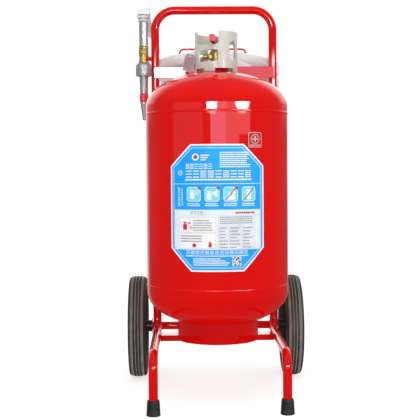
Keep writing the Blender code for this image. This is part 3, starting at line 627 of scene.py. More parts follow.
def smooth_route(knots, spacing):
    """Evenly spaced points on one smooth curve through the knots, and the knot that each has reached."""
    knots = [Vector(knot) for knot in knots]
    ends = [2 * knots[0] - knots[1], *knots, 2 * knots[-1] - knots[-2]]
    dense = []
    for index, (a, b, c, d) in enumerate(zip(ends, ends[1:], ends[2:], ends[3:])):
        for i in range(20):
            t = i / 20
            dense.append((index + t, 0.5 * ((2 * b) + (c - a) * t + (2 * a - 5 * b + 4 * c - d) * t ** 2
                                            + (3 * b - a - 3 * c + d) * t ** 3)))
    dense.append((len(knots) - 1, knots[-1]))
    total = sum((q[1] - p[1]).length for p, q in zip(dense, dense[1:]))
    pieces = round(total / spacing)
    route, travelled, want = [dense[0]], 0.0, total / pieces
    for p, q in zip(dense, dense[1:]):
        step = (q[1] - p[1]).length
        while travelled + step >= want and len(route) < pieces:
            t = (want - travelled) / step
            route.append((p[0] + (q[0] - p[0]) * t, p[1].lerp(q[1], t)))
            want += total / pieces
        travelled += step
    route.append(dense[-1])
    return route


HANK_X = (HANK_LOW.x + HANK_HIGH.x) / 2
HANK_Y = (HANK_LOW.y + HANK_HIGH.y) / 2 - TANK_Y
HANK_HALF_WIDTH = (HANK_HIGH.y - HANK_LOW.y) / 2
HANK_STRAIGHT = (HANK_HIGH.x - HANK_LOW.x) / 2 - HANK_HALF_WIDTH
HANK_TOP = HANK_HIGH.z
LAYER = 0.0134                 # from one turn of the folded hose to the next
HANK_DROOP = 0.030             # how far the folded hose's ends sag below its middle
FOLD_Z = 1.1225                # middle of the hose's bend over the nozzle
FOLD_RADIUS = 0.0175
FLAT = (0.0188, 0.0060)        # half the width and half the thickness of the folded hose


def turn_of_hank(widths, height, parts):
    """Knots for the parts of one turn. Each part runs from its first half width to its second."""
    knots = []

    def add(x, y):
        z = height(x) if callable(height) else height
        droop = HANK_DROOP * ((HANK_X + x) / (HANK_STRAIGHT + HANK_HALF_WIDTH)) ** 2
        knots.append((HANK_X + x, HANK_Y + y, z - droop))

    front, right, rear, left, end = widths
    if "front" in parts:
        for x in (-0.6, -0.2, 0.2, 0.6):
            add(HANK_STRAIGHT * x, -front)
    if "right" in parts:
        for x, y in arc((HANK_STRAIGHT, 0), right, -90, 90, 6):
            add(x, y)
    if "rear" in parts:
        for x, share in ((0.6, 0.0), (0.25, 0.3), (-0.25, 0.7), (-0.6, 1.0)):
            add(HANK_STRAIGHT * x, right + (rear - right) * share)
    if "left" in parts:
        for step in range(7):
            angle = math.radians(90 + 30 * step)
            width = left + (end - left) * max(0, step - 3) / 3
            add(-HANK_STRAIGHT + width * math.cos(angle), width * math.sin(angle))
    return knots


def hose_knots():
    """The hose's route in the tank's frame: (place, half width, half thickness, direction of the width)."""
    top, bottom = HANK_TOP - 0.0195, HANK_TOP - 0.0595
    widths = [HANK_HALF_WIDTH - 0.0062 - LAYER * i for i in range(4)]
    over_strap = OUTLET_Z + 0.006
    up = (0, 0, 1)
    r = HOSE_RADIUS
    made = [((0, 0.0600, OUTLET_Z), 0.0138, 0.0138, up), ((0, 0.0700, OUTLET_Z), 0.0138, 0.0138, up),
            ((0, 0.0800, OUTLET_Z), 0.0136, 0.0136, up), ((0, 0.0983, OUTLET_Z), 0.0134, 0.0134, up),
            ((0, 0.118, OUTLET_Z), r, r, up), ((0.004, 0.148, over_strap - 0.002), 0.0150, 0.0115, up),
            ((0.014, 0.185, over_strap), 0.0178, 0.0078, up), ((0.029, 0.211, over_strap - 0.002), *FLAT, up),
            ((0.052, 0.231, 0.981), *FLAT, up), ((0.080, 0.2395, 0.969), *FLAT, up),
            ((0.110, 0.2475, 0.9540), *FLAT, up), ((0.135, 0.2525, 0.9455), *FLAT, up)]

    def climbing(x):
        return bottom + (top - bottom) * min(1, max(0, 0.5 - x / (1.6 * HANK_STRAIGHT)))

    # The lower layer winds in, the hose climbs on the inside, and the upper layer winds out
    whole = ("front", "right", "rear", "left")
    for turns, height, parts in (((0, 0, 1, 1, 1), bottom, whole[1:]), ((1, 1, 2, 2, 2), bottom, whole),
                                 ((2, 2, 3, 3, 3), bottom, whole), ((3, 3, 3, 3, 3), bottom, whole[:2]),
                                 ((3, 3, 3, 3, 3), climbing, ("rear",)), ((3, 3, 3, 3, 2), top, ("left",)),
                                 ((2, 2, 2, 2, 1), top, whole), ((1, 1, 1, 1, 0), top, whole),
                                 ((0, 0, 0, 0, 0), top, whole[:3])):
        made += [(place, *FLAT, up) for place in turn_of_hank([widths[i] for i in turns], height, parts)]
    made += [((-0.108, 0.3568, 0.990), *FLAT, up), ((-0.1494, 0.3499, 0.984), *FLAT, up),
             ((-0.1690, 0.3320, 0.987), *FLAT, up), ((-0.1755, 0.3110, 0.998), *FLAT, (0, 0.4, 1)),
             ((-0.1740, 0.2940, 1.013), 0.0180, 0.0060, (0, 1, 0.7)),
             ((-0.172, 0.282, 1.030), 0.0172, 0.0062, (0, 1, 0.1)),
             ((-0.180, 0.268, 1.052), 0.0175, 0.0058, (-0.3, 1, 0)),
             ((-0.197, 0.250, 1.078), 0.0185, 0.0052, (-0.8, 0.8, 0)),
             ((-0.209, 0.239, 1.103), 0.0200, 0.0046, (-1, 0.3, 0))]
    for y, z in arc((NOZZLE_Y + FOLD_RADIUS, FOLD_Z), FOLD_RADIUS, 15, 165, 5):
        made.append(((NOZZLE_X, y, z), 0.0205, 0.0042, (-1, 0, -0.2)))
    made += [((NOZZLE_X, NOZZLE_Y, FOLD_Z - 0.002), 0.0140, 0.0125, (-1, 0, -0.1)),
             ((NOZZLE_X, NOZZLE_Y, 1.1130), 0.0132, 0.0132, (-1, 0, 0)),
             ((NOZZLE_X, NOZZLE_Y, 1.1034), 0.0133, 0.0133, (-1, 0, 0))]
    return made


def hose():
    """The lay-flat hose, folded on the rack: round at its two ends and pressed flat between them."""
    knots = hose_knots()
    route = smooth_route([k[0] for k in knots], 0.007)

    def at_knot(number, index):
        low = min(int(number), len(knots) - 2)
        share = number - low
        share = share * share * (3 - 2 * share)
        a, b = knots[low][index], knots[low + 1][index]
        return Vector(a).lerp(Vector(b), share) if index == 3 else a + (b - a) * share

    centres = [p for _, p in route]
    frames = frames_along(centres, [at_knot(n, 3) for n, _ in route])
    sides, points, travelled, spots = 24, [], 0.0, []
    for i, ((number, centre), (_, side, normal)) in enumerate(zip(route, frames)):
        if i:
            travelled += (centre - centres[i - 1]).length
        half_width, half_thick = at_knot(number, 1), at_knot(number, 2)
        pinch = 1 - half_thick / half_width
        for a in angles_round(sides):
            wrinkle = noise.noise(Vector((travelled * 28, math.cos(a) * 1.2, math.sin(a) * 1.2)))
            across = half_width * math.cos(a)
            out = half_thick * math.sin(a) * (1 - 0.30 * pinch * math.cos(a) ** 2)
            out *= 1 + 0.20 * pinch * wrinkle
            points.append(centre + side * across + normal * out)
        spots.append(travelled)
    mesh = skin("hose", points, sides)
    layout = mesh.uv_layers.new(name="length_and_girth")
    girth = 0.080 / sides
    for polygon in mesh.polygons:
        columns = [v % sides for v in polygon.vertices]
        wraps = max(columns) - min(columns) > sides / 2
        for loop, vertex in zip(polygon.loop_indices, polygon.vertices):
            column = vertex % sides
            column += sides if wraps and column < sides / 2 else 0
            layout.data[loop].uv = (spots[vertex // sides], column * girth)
    obj = piece("hose", mesh, "hose_canvas", angle=75)
    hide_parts("hose_supply", "hose_hank", "hose_riser")
    return obj, centres, travelled


def hose_clamps():
    """Two turns of wire round the hose's end, each twisted shut."""
    made = []
    for word, height in (("upper", 1.1210), ("lower", 1.1105)):
        loop = [(0.0142 * math.cos(a), 0.0142 * math.sin(a), 0.0008 * math.sin(a / 2 - 0.8))
                for a in [4 * math.pi * i / 96 for i in range(97)]]
        twist = [(0.0150 + 0.0030 * t, 0.0009 * math.sin(12 * t), 0.0009 * math.cos(12 * t))
                 for t in [i / 12 for i in range(13)]]
        mesh = joined("clamp", sweep("loop", loop, 0.0007, 10), sweep("twist", twist, 0.0008, 8))
        made.append(stand_in(f"hose_clamp_{word}", mesh, "zinc_steel", (NOZZLE_X, NOZZLE_Y, height)))
    return made


# Frame

def welded(name, path, outward, width, height, looped=False, pitch=0.0030):
    """A rippled bead of weld metal along a path, under the paint."""
    points = [Vector(p) for p in path]
    if looped:
        points.append(points[0])
    line, hints = [], []
    for p, q in zip(points, points[1:]):
        steps = max(1, round((q - p).length / 0.0010))
        for i in range(steps):
            line.append(p.lerp(q, i / steps))
            hints.append(Vector(outward(line[-1])) if callable(outward) else Vector(outward))
    if not looped:
        line.append(points[-1])
        hints.append(hints[-1])
    sides, made, travelled = 12, [], 0.0
    frames = frames_along(line + line[:1] if looped else line, hints + hints[:1] if looped else hints)
    for i, p in enumerate(line):
        travelled += (p - line[i - 1]).length if i else 0
        _, side, normal = frames[i]
        ripple = 0.80 + 0.22 * abs(math.sin(math.pi * travelled / pitch)) + 0.25 * noise.noise(p * 180)
        taper = 1 if looped else min(1, 0.35 + 400 * min(travelled, abs(i - len(line)) * 0.0010))
        for a in angles_round(sides):
            up = math.sin(a) * (height * ripple if math.sin(a) > 0 else height)
            sideways = width / 2 * math.cos(a) * taper * (0.9 + 0.1 * ripple)
            made.append(p + side * up * taper + normal * sideways)
    return piece(name, skin(name, made, sides, looped), "red_paint", angle=80)


def circle(radius, z, steps=96, centre=(0, 0)):
    return [(x, y, z) for x, y in arc(centre, radius, 0, 360, steps)[:-1]]


def tube_frame():
    corner = (-HALF_TRACK + HANDLE_BEND, HANDLE_Z - HANDLE_BEND)
    left = [(-HALF_TRACK, UPRIGHT_Y, HOOP_FOOT_Z + 0.10 * i) for i in range(9)]
    left[-1:] = [(x, UPRIGHT_Y, z) for x, z in arc(corner, HANDLE_BEND, 180, 90, 24)]
    stand_in("handle_hoop", sweep("hoop", left + mirrored(left)[::-1], TUBE_RADIUS, 40), "red_paint")
    rear = arc((UPRIGHT_Y - ELBOW_BEND, CHASSIS_Z + ELBOW_BEND), ELBOW_BEND, 0, -90, 20)
    front = arc((FRONT_LEG_Y + ELBOW_BEND, CHASSIS_Z - ELBOW_BEND), ELBOW_BEND, 90, 180, 20)
    side_view = [(UPRIGHT_Y, HOOP_FOOT_Z - 0.0003), *rear, *front, (FRONT_LEG_Y, 0.0106)]
    for word, side in SIDES:
        x = side * HALF_TRACK
        stand_in(f"{word}_leg", sweep("leg", [(x, y, z) for y, z in side_view], TUBE_RADIUS, 40), "red_paint")
        welded(f"leg_weld_{word}", circle(TUBE_RADIUS, HOOP_FOOT_Z, 48, (x, UPRIGHT_Y)),
               lambda p, x=x: (p.x - x, p.y - UPRIGHT_Y, 0), 0.005, 0.0008, looped=True)
        rubber_foot(word, x)


def rubber_foot(word, x):
    """A ribbed rubber ferrule with a flared sole."""
    profile = [(0, 0.0102), (TUBE_RADIUS + 0.0002, 0.0102), (TUBE_RADIUS + 0.0002, 0.0414),
               (0.0133, 0.0420), (0.0154, 0.0420), (0.0160, 0.0412), (0.0163, 0.0385)]
    for i in range(3):
        z = 0.0350 - 0.0052 * i
        r = 0.0164 + (0.0420 - z) * 0.055
        profile += [(r, z), (r + 0.0006, z - 0.0008), (r + 0.0006, z - 0.0022), (r, z - 0.0030)]
    profile += [(0.0181, 0.0160), (0.0183, 0.0080), (0.0192, 0.0045), (0.0192, 0.0026), (0.0184, 0.0008),
                (0.0172, 0.0), (0.0140, 0.0), (0.0130, 0.0012), (0, 0.0012)]
    turned(f"{word}_foot", profile, "black_rubber", (x, FRONT_LEG_Y, 0), steps=64, angle=50)


def frame_bars():
    front = UPRIGHT_Y - TUBE_RADIUS - FIT
    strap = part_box("upper_strap")
    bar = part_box("rear_tank_bar")
    for name, (low, high) in (("upper_strap", strap), ("rear_tank_bar", bar)):
        mesh = block(name, (low.x, low.y - TANK_Y, low.z), (high.x, high.y - TANK_Y, high.z))
        stand_in(name, bevelled(mesh, 0.0012, 3), "red_paint", angle=12)
        for word, side in SIDES:
            for edge, z in (("low", low.z), ("high", high.z)):
                path = [(side * 0.1705, front - 0.0002, z), (side * 0.1870, front + 0.0016, z)]
                welded(f"{name}_weld_{word}_{edge}", path, (0, -0.6, 1 if edge == "high" else -1), 0.0045,
                       0.0016)
    saddle_back = bar[0].y - TANK_Y - FIT
    outline = arc((0, 0), TANK_RADIUS + FIT, 74, 106, 40) + arc((0, 0), saddle_back, 106, 74, 40)
    saddle = prism("saddle", outline, 0.580, 0.660)
    stand_in("tank_saddle", bevelled(saddle, 0.0012, 2), "red_paint", angle=20)
    for edge, z in (("low", bar[0].z), ("high", bar[1].z)):
        path = [(-0.030, saddle_back + 0.0004, z), (0.030, saddle_back + 0.0004, z)]
        welded(f"saddle_weld_{edge}", path, (0, -1, 1 if edge == "high" else -1), 0.0050, 0.0016)


def lower_crossbar():
    low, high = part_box("lower_crossbar")
    depth, height, wall = high.y - low.y, high.z - low.z, 0.003
    outline = [(0, 0), (depth, 0), (depth, -height), (depth - wall, -height), (depth - wall, -wall),
               (wall, -wall), (wall, -height), (0, -height)]
    mesh = bevelled(prism("channel", outline, low.x, high.x), 0.0011, 3)
    stand_in("lower_crossbar", mesh, "red_paint", (0, low.y - TANK_Y, high.z), ACROSS, angle=12)
    for word, side in SIDES:
        x = side * (high.x + 0.0002)
        path = [(x, low.y - TANK_Y + 0.003, high.z), (x, high.y - TANK_Y - 0.003, high.z)]
        welded(f"crossbar_weld_{word}", path, (-side, 0, 1), 0.0055, 0.0016)


def axle():
    weld_y = UPRIGHT_Y + TUBE_RADIUS + 0.0002
    near = UPRIGHT_Y + TUBE_RADIUS + FIT - AXLE_Y
    outline = [(near, 0.075), (near, -0.012), *arc((0, 0), 0.024, -110, 70, 24), (near + 0.030, 0.075)]
    for word, side in SIDES:
        mesh = combined(prism("bracket", outline, -0.003, 0.003), rod(TUBE_RADIUS + FIT, -0.01, 0.01))
        stand_in(f"axle_bracket_{word}", bevelled(mesh, 0.0008, 2), "red_paint",
                 (side * HALF_TRACK, AXLE_Y, AXLE_Z),
                 ACROSS, 20)
        for face in (-1, 1):
            face_word = "in" if face * side < 0 else "out"
            x = side * HALF_TRACK + face * 0.0032
            path = [(x, weld_y, AXLE_Z - 0.010), (x, weld_y, AXLE_Z + 0.073)]
            welded(f"bracket_weld_{word}_{face_word}", path, (face, 0.7, 0), 0.0050, 0.0014)
            ring = [(x, y, z) for y, z in arc((AXLE_Y, AXLE_Z), TUBE_RADIUS, 0, 360, 48)[:-1]]
            welded(f"axle_weld_{word}_{face_word}", ring, lambda p: (0, p.y - AXLE_Y, p.z - AXLE_Z), 0.0045,
                   0.0015,
                   looped=True)
    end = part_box("axle_tube")[1].x
    turned("axle_tube", sleeve(0.0086, TUBE_RADIUS, -end, end, 0.0008), "red_paint", (0, AXLE_Y, AXLE_Z),
           ALONG_X,
           closed=True)


def hose_rack():
    wire, half, low, high, rear, bend = 0.003, 0.106, 0.9275, 1.040, 0.378, 0.014
    front = UPRIGHT_Y - TUBE_RADIUS
    left = eased([(-half, front, low + 0.009), (-half, front + 0.012, low + 0.009),
                  (-half, front + 0.026, low),
                  (-half, front + 0.040, low)], 0.008, steps=6)
    left += [(-half, y, z) for y, z in arc((rear - bend, low + bend), bend, -90, 0, 12)]
    left += [(x, rear, z) for x, z in arc((-half + bend, high - bend), bend, 180, 90, 12)]
    stand_in("hose_rack", sweep("rack", left + mirrored(left)[::-1], wire, 20), "red_paint")
    for word, side in SIDES:
        spot = circle(0.0030, front - 0.0002, 24)
        ring = [(side * half + x, z, low + 0.009 + y) for x, y, z in spot]
        welded(f"rack_weld_{word}", ring, lambda p, x=side * half: (p.x - x, 0.8 * wire, p.z - low - 0.009),
               0.0030, 0.0012, looped=True, pitch=0.002)


def nozzle_bracket():
    away = Vector((-HALF_TRACK - NOZZLE_X, UPRIGHT_Y - NOZZLE_Y))
    facing = math.atan2(away.y, away.x)
    inner, outer, arm = 0.0156, 0.0172, 0.004
    reach = away.length - TUBE_RADIUS - FIT
    root = math.degrees(math.asin(arm / outer))
    clip = arc((0, 0), inner, 100, -100, 40) + arc((0, 0), outer, -100, -root, 20)
    clip += [(reach - 0.0006, -arm), (reach - 0.0006, arm)] + arc((0, 0), outer, root, 100, 20)
    mesh = bevelled(prism("bracket", clip, -0.006, 0.006), 0.0005, 2)
    stand_in("nozzle_bracket", mesh, "red_paint", (NOZZLE_X, NOZZLE_Y, 0.9905), (0, 0, facing))


# Wheels

GROOVES = (-0.0141, -0.0047, 0.0047, 0.0141)


def tread_radius(angle, half):
    """The tyre's radius at a place across its crown, with its grooves."""
    z = half * math.sin(angle)
    radius = WHEEL_RADIUS - 0.014 * (1 - math.cos(angle) ** 0.6)
    deep = max(min(1, (0.0019 - abs(z - groove)) / 0.0007) for groove in GROOVES)
    return radius - 0.0034 * max(0, deep), z


def tyre(word, side):
    low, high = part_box(f"tyre_{word}")
    half = (high.x - low.x) / 2
    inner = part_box(f"wheel_rim_{word}")[1].z - AXLE_Z + FIT
    profile = [(inner, half - 0.012), (inner + 0.004, half - 0.0095), (inner + 0.0045, half - 0.0065),
               (inner + 0.008, half - 0.0045), (inner + 0.0095, half - 0.0052),
               (inner + 0.016, half - 0.0018),
               (inner + 0.0170, half - 0.0008), (inner + 0.0185, half - 0.0008),
               (inner + 0.0195, half - 0.0018),
               (inner + 0.026, half - 0.0006)]
    crown = [tread_radius(math.radians(a / 2), half) for a in range(150, -151, -2)]
    mirror = [(r, -z) for r, z in reversed(profile)]
    turned(f"tyre_{word}", profile + crown + mirror, "tyre_rubber", (side * WHEEL_X, AXLE_Y, AXLE_Z),
           (0, math.radians(90 * side), 0), 160, closed=True, angle=45)


def wheel_rim(word, side):
    """A pressed disc: rolled rim, dished web with five round openings, and hub tube."""
    rim, bush, hub_in, hub_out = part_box(f"wheel_rim_{word}")[1].z - AXLE_Z, 0.0113, -0.0417, 0.0190
    profile = [(rim, 0.0155), (rim, -0.0155), (rim - 0.0012, -0.0170), (rim - 0.0048, -0.0170),
               (rim - 0.0062, -0.0155),
               (rim - 0.0066, -0.0060), (rim - 0.0090, -0.0040), (rim - 0.0150, -0.0034), (0.040, -0.0030),
               (0.030, -0.0024), (0.0240, -0.0036), (0.0205, -0.0060), (0.0185, -0.0110),
               (0.018, hub_in + 0.001),
               (0.017, hub_in), (bush, hub_in), (bush, hub_out), (0.0190, hub_out), (0.0200, hub_out - 0.001),
               (0.0205, 0.0090), (0.0225, 0.0058), (0.030, 0.0030), (0.040, 0.0022), (rim - 0.0150, 0.0012),
               (rim - 0.0090, 0.0014), (rim - 0.0070, 0.0032), (rim - 0.0062, 0.0155), (rim - 0.0048, 0.0170),
               (rim - 0.0012, 0.0170)]
    made = lathe("rim", profile, 120, closed=True)
    for i in range(5):
        angle = math.radians(90 + 72 * i)
        at = (-side * 0.064 * math.sin(angle), 0.064 * math.cos(angle), 0)
        made = combined(made, moved(prism("hole", arc((0, 0), 0.021, 0, 360, 48)[:-1], -0.03, 0.03), at))
    place = (side * WHEEL_X, AXLE_Y, AXLE_Z)
    outward = (0, math.radians(90 * side), 0)
    stand_in(f"wheel_rim_{word}", bevelled(made, 0.0006, 2, 50), "black_paint", place, outward, angle=20)
    bush_ring = [(AXLE_BORE, -0.0410), (0.0088, -0.0415), (0.0106, -0.0415), (0.0110, -0.0410),
                 (0.0110, 0.0184),
                 (0.0106, 0.0188), (0.0088, 0.0188), (AXLE_BORE, 0.0184)]
    turned(f"hub_bush_{word}", bush_ring, "white_nylon", place, outward, closed=True)
    low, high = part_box(f"axle_washer_{word}")
    washer = [(AXLE_BORE, low.x), (0.0245, low.x), (0.0250, low.x + 0.0005), (0.0250, high.x - 0.0005),
              (0.0245, high.x), (AXLE_BORE, high.x)]
    turned(f"axle_washer_{word}", washer, "zinc_steel", (0, AXLE_Y, AXLE_Z), ALONG_X, 64, closed=True)
    cap = [(0, 0.0275), (0.0060, 0.0275), (0.0095, 0.0272), (0.0118, 0.0258), (0.0128, 0.0238),
           (0.0131, 0.0210),
           (0.0150, 0.0202), (0.0150, 0.0195), (0.0083, 0.0195), (0.0083, 0.0245), (0, 0.0245)]
    turned(f"axle_cap_{word}", cap, "zinc_steel", place, outward, angle=45)


# Tank

def tank():
    radius, wall, height, neck = TANK_RADIUS, 0.0025, DISH_HEIGHT, NECK_RADIUS
    # The middle of the upper dish's ellipse, from the height of the neck hole's edge
    top_z, bottom_z = tank_high.z - height * math.sqrt(1 - (neck / radius) ** 2), tank_low.z + height

    def dish(r, h, z, first, last, steps, up):
        a, b = math.asin(first / r), math.asin(min(1, last / r))
        points = [(r * math.sin(a + (b - a) * i / steps), z + up * h * math.cos(a + (b - a) * i / steps))
                  for i in range(steps + 1)]
        return points if up > 0 else points[::-1]

    outside = dish(radius, height, top_z, neck, radius, 40, 1)
    outside += [(radius, top_z - (top_z - bottom_z) * i / 12) for i in range(1, 12)]
    outside += dish(radius, height, bottom_z, 0, radius, 40, -1)
    inside = dish(radius - wall, height - wall, top_z, neck, radius - wall, 16, 1)
    inside += dish(radius - wall, height - wall, bottom_z, 0, radius - wall, 12, -1)
    turned("tank_shell", outside + inside[::-1], "red_paint", steps=192, closed=True, angle=40)
    for word, z in (("upper", UPPER_SEAM_Z), ("lower", LOWER_SEAM_Z)):
        welded(f"tank_seam_{word}", circle(radius - 0.0001, z, 192), lambda p: (p.x, p.y, 0), 0.0075, 0.0009,
               looped=True, pitch=0.0034)

    low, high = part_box("foot_ring")
    outer = high.x
    ring = sleeve(outer - RING_WALL, outer, low.z, high.z, 0.0010)
    turned("foot_ring", ring, "red_paint", steps=128, closed=True)
    welded("foot_ring_weld", circle(outer, high.z + 0.0010, 128), lambda p: (p.x, p.y, -0.06), 0.0070, 0.0022,
           looped=True)
    low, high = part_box("neck_boss")
    outer = high.x
    turned("neck_boss", sleeve(0.0203, outer, low.z, high.z, 0.0012), "red_paint", steps=96, closed=True)
    welded("neck_weld", circle(outer, 0.9288, 96), lambda p: (p.x, p.y, 0.03), 0.0060, 0.0020, looped=True)


# Guard and valve

def window(width, height, corner, depth, at, turn=0.0):
    """A cutter with rounded corners, through an upright wall."""
    outline = []
    for x, y, start in ((1, 1, 0), (-1, 1, 90), (-1, -1, 180), (1, -1, 270)):
        outline += arc((x * (width / 2 - corner), y * (height / 2 - corner)), corner, start, start + 90, 8)
    return moved(prism("window", outline, -depth / 2, depth / 2), at, (math.radians(90), 0, turn))


def valve_guard():
    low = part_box("valve_guard")[0]
    r = GUARD_RADIUS
    wall = sleeve(r - RING_WALL, r, low.z, GUARD_TOP, 0.0009)
    cutters = [window(0.058, 0.080, 0.010, 0.075, (-0.024, -r, 1.0405)),
               window(0.0525, 0.032, 0.006, 0.050, (-0.0228, -r, 0.970)),
               window(0.048, 0.052, 0.006, 0.050, (0.002, r, 0.984))]
    for degrees in (49, 131):
        angle = math.radians(degrees)
        cutters.append(window(0.026, 0.053, 0.0125, 0.050,
                              (r * math.sin(angle), -r * math.cos(angle), 0.9845), angle))
    for left, right in ((-0.058, -0.035), (-0.005, 0.045)):
        for face in (-1, 1):
            cutters.append(block("notch", (left, face * 0.045 - 0.030, 0.920),
                                 (right, face * 0.045 + 0.030, 0.9352)))
    mesh = combined(lathe("guard", wall, 160, closed=True), *cutters)
    stand_in("valve_guard", bevelled(mesh, 0.0005, 2, 50), "beige_paint", angle=20)


def bolt_hex(across, low, high, bore=0.0):
    """A hexagon with its corners turned off at both ends."""
    corner = across / 2 / math.cos(math.pi / 6)
    chamfer = corner - across / 2
    profile = [(bore, low), (across / 2 * 0.97, low), (corner, low + chamfer * 0.6),
               (corner, high - chamfer * 0.6),
               (across / 2 * 0.97, high), (bore, high)]
    return lathe("hexagon", profile, 72, closed=bore > 0, shape=hexagon(across))


def rod(radius, low, high, steps=48):
    return lathe("rod", [(0, low), (radius, low), (radius, high), (0, high)], steps)


def valve():
    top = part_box("valve_body")[1].z
    body = lathe("body", [(0, 0.905), (0.0192, 0.905), (0.0200, 0.9060), (0.0200, 0.950), (0.0150, 0.950),
                          (0.0150, 0.9640), (0.0145, 0.9646), (0.0145, 0.9660), (0.0150, 0.9666),
                          (0.0150, top - 0.002), (0.0135, top), (0, top)], 72)
    outlet = lathe("outlet", [(0, 0.005), (0.0125, 0.005), (0.0125, 0.0385), (0.0115, 0.0400), (0, 0.0400)],
                   60)
    body = combined(body, moved(bolt_hex(0.044, 0.9451, 0.9565)), moved(outlet, (0, 0, OUTLET_Z), ALONG_Y),
                    moved(bolt_hex(0.0147, 0.005, 0.0215), (0, 0, GAUGE_Z), TO_THE_LEFT), operation="UNION")
    body = combined(body, rod(0.0128, 0.900, 0.9430), rod(0.0055, 0.9400, 0.9920),
                    rod(0.0035, 0.9900, 1.0100),
                    moved(rod(0.0080, 0.0, 0.0450), (0, 0, OUTLET_Z), ALONG_Y))
    stand_in("valve_body", bevelled(body, 0.0004, 2, 50), "brass", angle=20)
    stem = [(0, 1.0079), (0.0012, 1.0079), (0.0024, 1.0073), (0.0031, 1.0062), (0.0032, 1.0050),
            (0.0032, 0.9426),
            (0.0036, 0.9422), (0.0114, 0.9422), (0.0118, 0.9418), (0.0118, 0.9379), (0.0114, 0.9375),
            (0, 0.9375)]
    turned("valve_stem", stem, "brass", steps=40)
    seat, low, high, travel, coil_radius, turns = 0.915, 0.9160, 0.9362, 0.004, 0.0112, 3
    coil = [(coil_radius * math.cos(a), coil_radius * math.sin(a),
             low + (high - low) * a / (turns * 2 * math.pi))
            for a in [turns * 2 * math.pi * i / 108 for i in range(109)]]
    spring = stand_in("valve_spring", sweep("spring", coil, 0.0010, 10), "zinc_steel")
    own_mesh(spring)


def bonnet_and_lever():
    at, turn = (0, 0, PIVOT_Z), (0, 0, LEVER_TURN)
    bonnet = moved(bolt_hex(0.0216, 0.9983 - PIVOT_Z, 1.0020 - PIVOT_Z))
    for side in (-1, 1):
        low, high = sorted((side * 0.0053, side * 0.0083))
        web = block("web", (low, -0.0068, 1.0010 - PIVOT_Z), (high, 0.0175, 0))
        bonnet = combined(bonnet, moved(rod(0.0072, low, high), (0, 0, 0), ALONG_X), web, operation="UNION")
    bonnet = combined(bonnet, moved(rod(0.0028, -0.02, 0.02), (0, 0, 0), ALONG_X),
                      moved(rod(0.0015, -0.02, 0.02), (0, 0.0140, 1.0105 - PIVOT_Z), ALONG_X),
                      moved(rod(0.0035, -0.03, 0.0)))
    stand_in("valve_bonnet", bevelled(bonnet, 0.0003, 2, 50), "zinc_steel", at, turn, 20)

    start, rise = 0.0060, 0.0040
    outline = []
    for i in range(41):
        angle = -math.pi / 2 + math.pi / 2 * i / 40
        radius = start + rise * i / 40
        outline.append((-radius * math.cos(angle), radius * math.sin(angle)))
    outline += [(-(start + rise) * math.cos(a), (start + rise) * math.sin(a) * 0.7)
                for a in [math.radians(9 * i) for i in range(1, 11)]]
    outline += [(0.036, 0.0045), (0.036, -0.0035), (0.005, -0.0045)]
    cam = prism("cam", outline, -0.0049, 0.0049)
    cam = moved(cam, (0, 0, 0), (math.radians(90), 0, math.radians(-90)))
    cam = combined(cam, moved(rod(0.0028, -0.02, 0.02), (0, 0, 0), ALONG_X))
    stand_in("lever_cam", bevelled(cam, 0.0003, 2, 50), "zinc_steel", at, turn, 20)

    half, wall, top, bottom = 0.0072, 0.0020, 0.0115, -0.0085
    section = [(-half, bottom), (-half + wall, bottom), (-half + wall, top - wall), (half - wall, top - wall),
               (half - wall, bottom), (half, bottom)]
    section += [(half - 0.004 + x, top - 0.004 + y) for x, y in arc((0, 0), 0.004, 0, 90, 8)]
    section += [(-half + 0.004 + x, top - 0.004 + y) for x, y in arc((0, 0), 0.004, 90, 180, 8)]
    handle = moved(prism("handle", section, 0.0105, 0.0805), (0, 0, 0), FORWARD)
    end = block("end", (-half + wall / 2, -0.0800, bottom + 0.0005),
                (half - wall / 2, -0.0775, top - wall / 2))
    handle = combined(handle, end, operation="UNION")
    stand_in("lever_handle", bevelled(handle, 0.0006, 2, 40), "red_plastic", at, turn, 20)

    pin = [(0, 0.0115), (0.0036, 0.0115), (0.0045, 0.0106), (0.0045, 0.0086), (0.0025, 0.0086),
           (0.0025, -0.0086),
           (0.0038, -0.0086), (0.0038, -0.0102), (0.0030, -0.0110), (0, -0.0110)]
    stand_in("lever_pivot_pin", moved(lathe("pin", pin, 40), (0, 0, 0), ALONG_X), "zinc_steel", at, turn)
    loop = [(0.0130 + 0.0080 * (1 - math.cos(a)), 0.0140 + 0.0080 * math.sin(a), 0)
            for a in [math.radians(11 * i) for i in range(29)]]
    wire = eased([(-0.0100, 0.0140, 0), (-0.0080, 0.0140, 0), (0.0095, 0.0140, 0), (0.0118, 0.0140, 0)],
                 0.001) + loop
    wire = [(x, y, 1.0105 - PIVOT_Z) for x, y, _ in wire]
    stand_in("safety_pin", sweep("pin", wire, 0.0012, 14), "zinc_steel", at, turn)


def number_mesh(text, size):
    """A plain number, lying in XY."""
    curve = bpy.data.curves.new("number", "FONT")
    curve.body, curve.size, curve.extrude = text, size, 0.00008
    curve.align_x, curve.align_y = "CENTER", "CENTER"
    curve.resolution_u = 3
    obj = bpy.data.objects.new("number", curve)
    bpy.context.scene.collection.objects.link(obj)
    bpy.context.view_layer.update()
    mesh = bpy.data.meshes.new_from_object(obj.evaluated_get(bpy.context.evaluated_depsgraph_get()))
    bpy.data.objects.remove(obj)
    bm = bmesh.new()
    bm.from_mesh(mesh)
    bmesh.ops.remove_doubles(bm, verts=bm.verts, dist=0.000001)
    bm.to_mesh(mesh)
    bm.free()
    return mesh


def band(inner, outer, start, end, low, high, steps=16):
    outline = arc((0, 0), inner, start, end, steps) + arc((0, 0), outer, end, start, steps)
    return prism("band", outline, low, high)


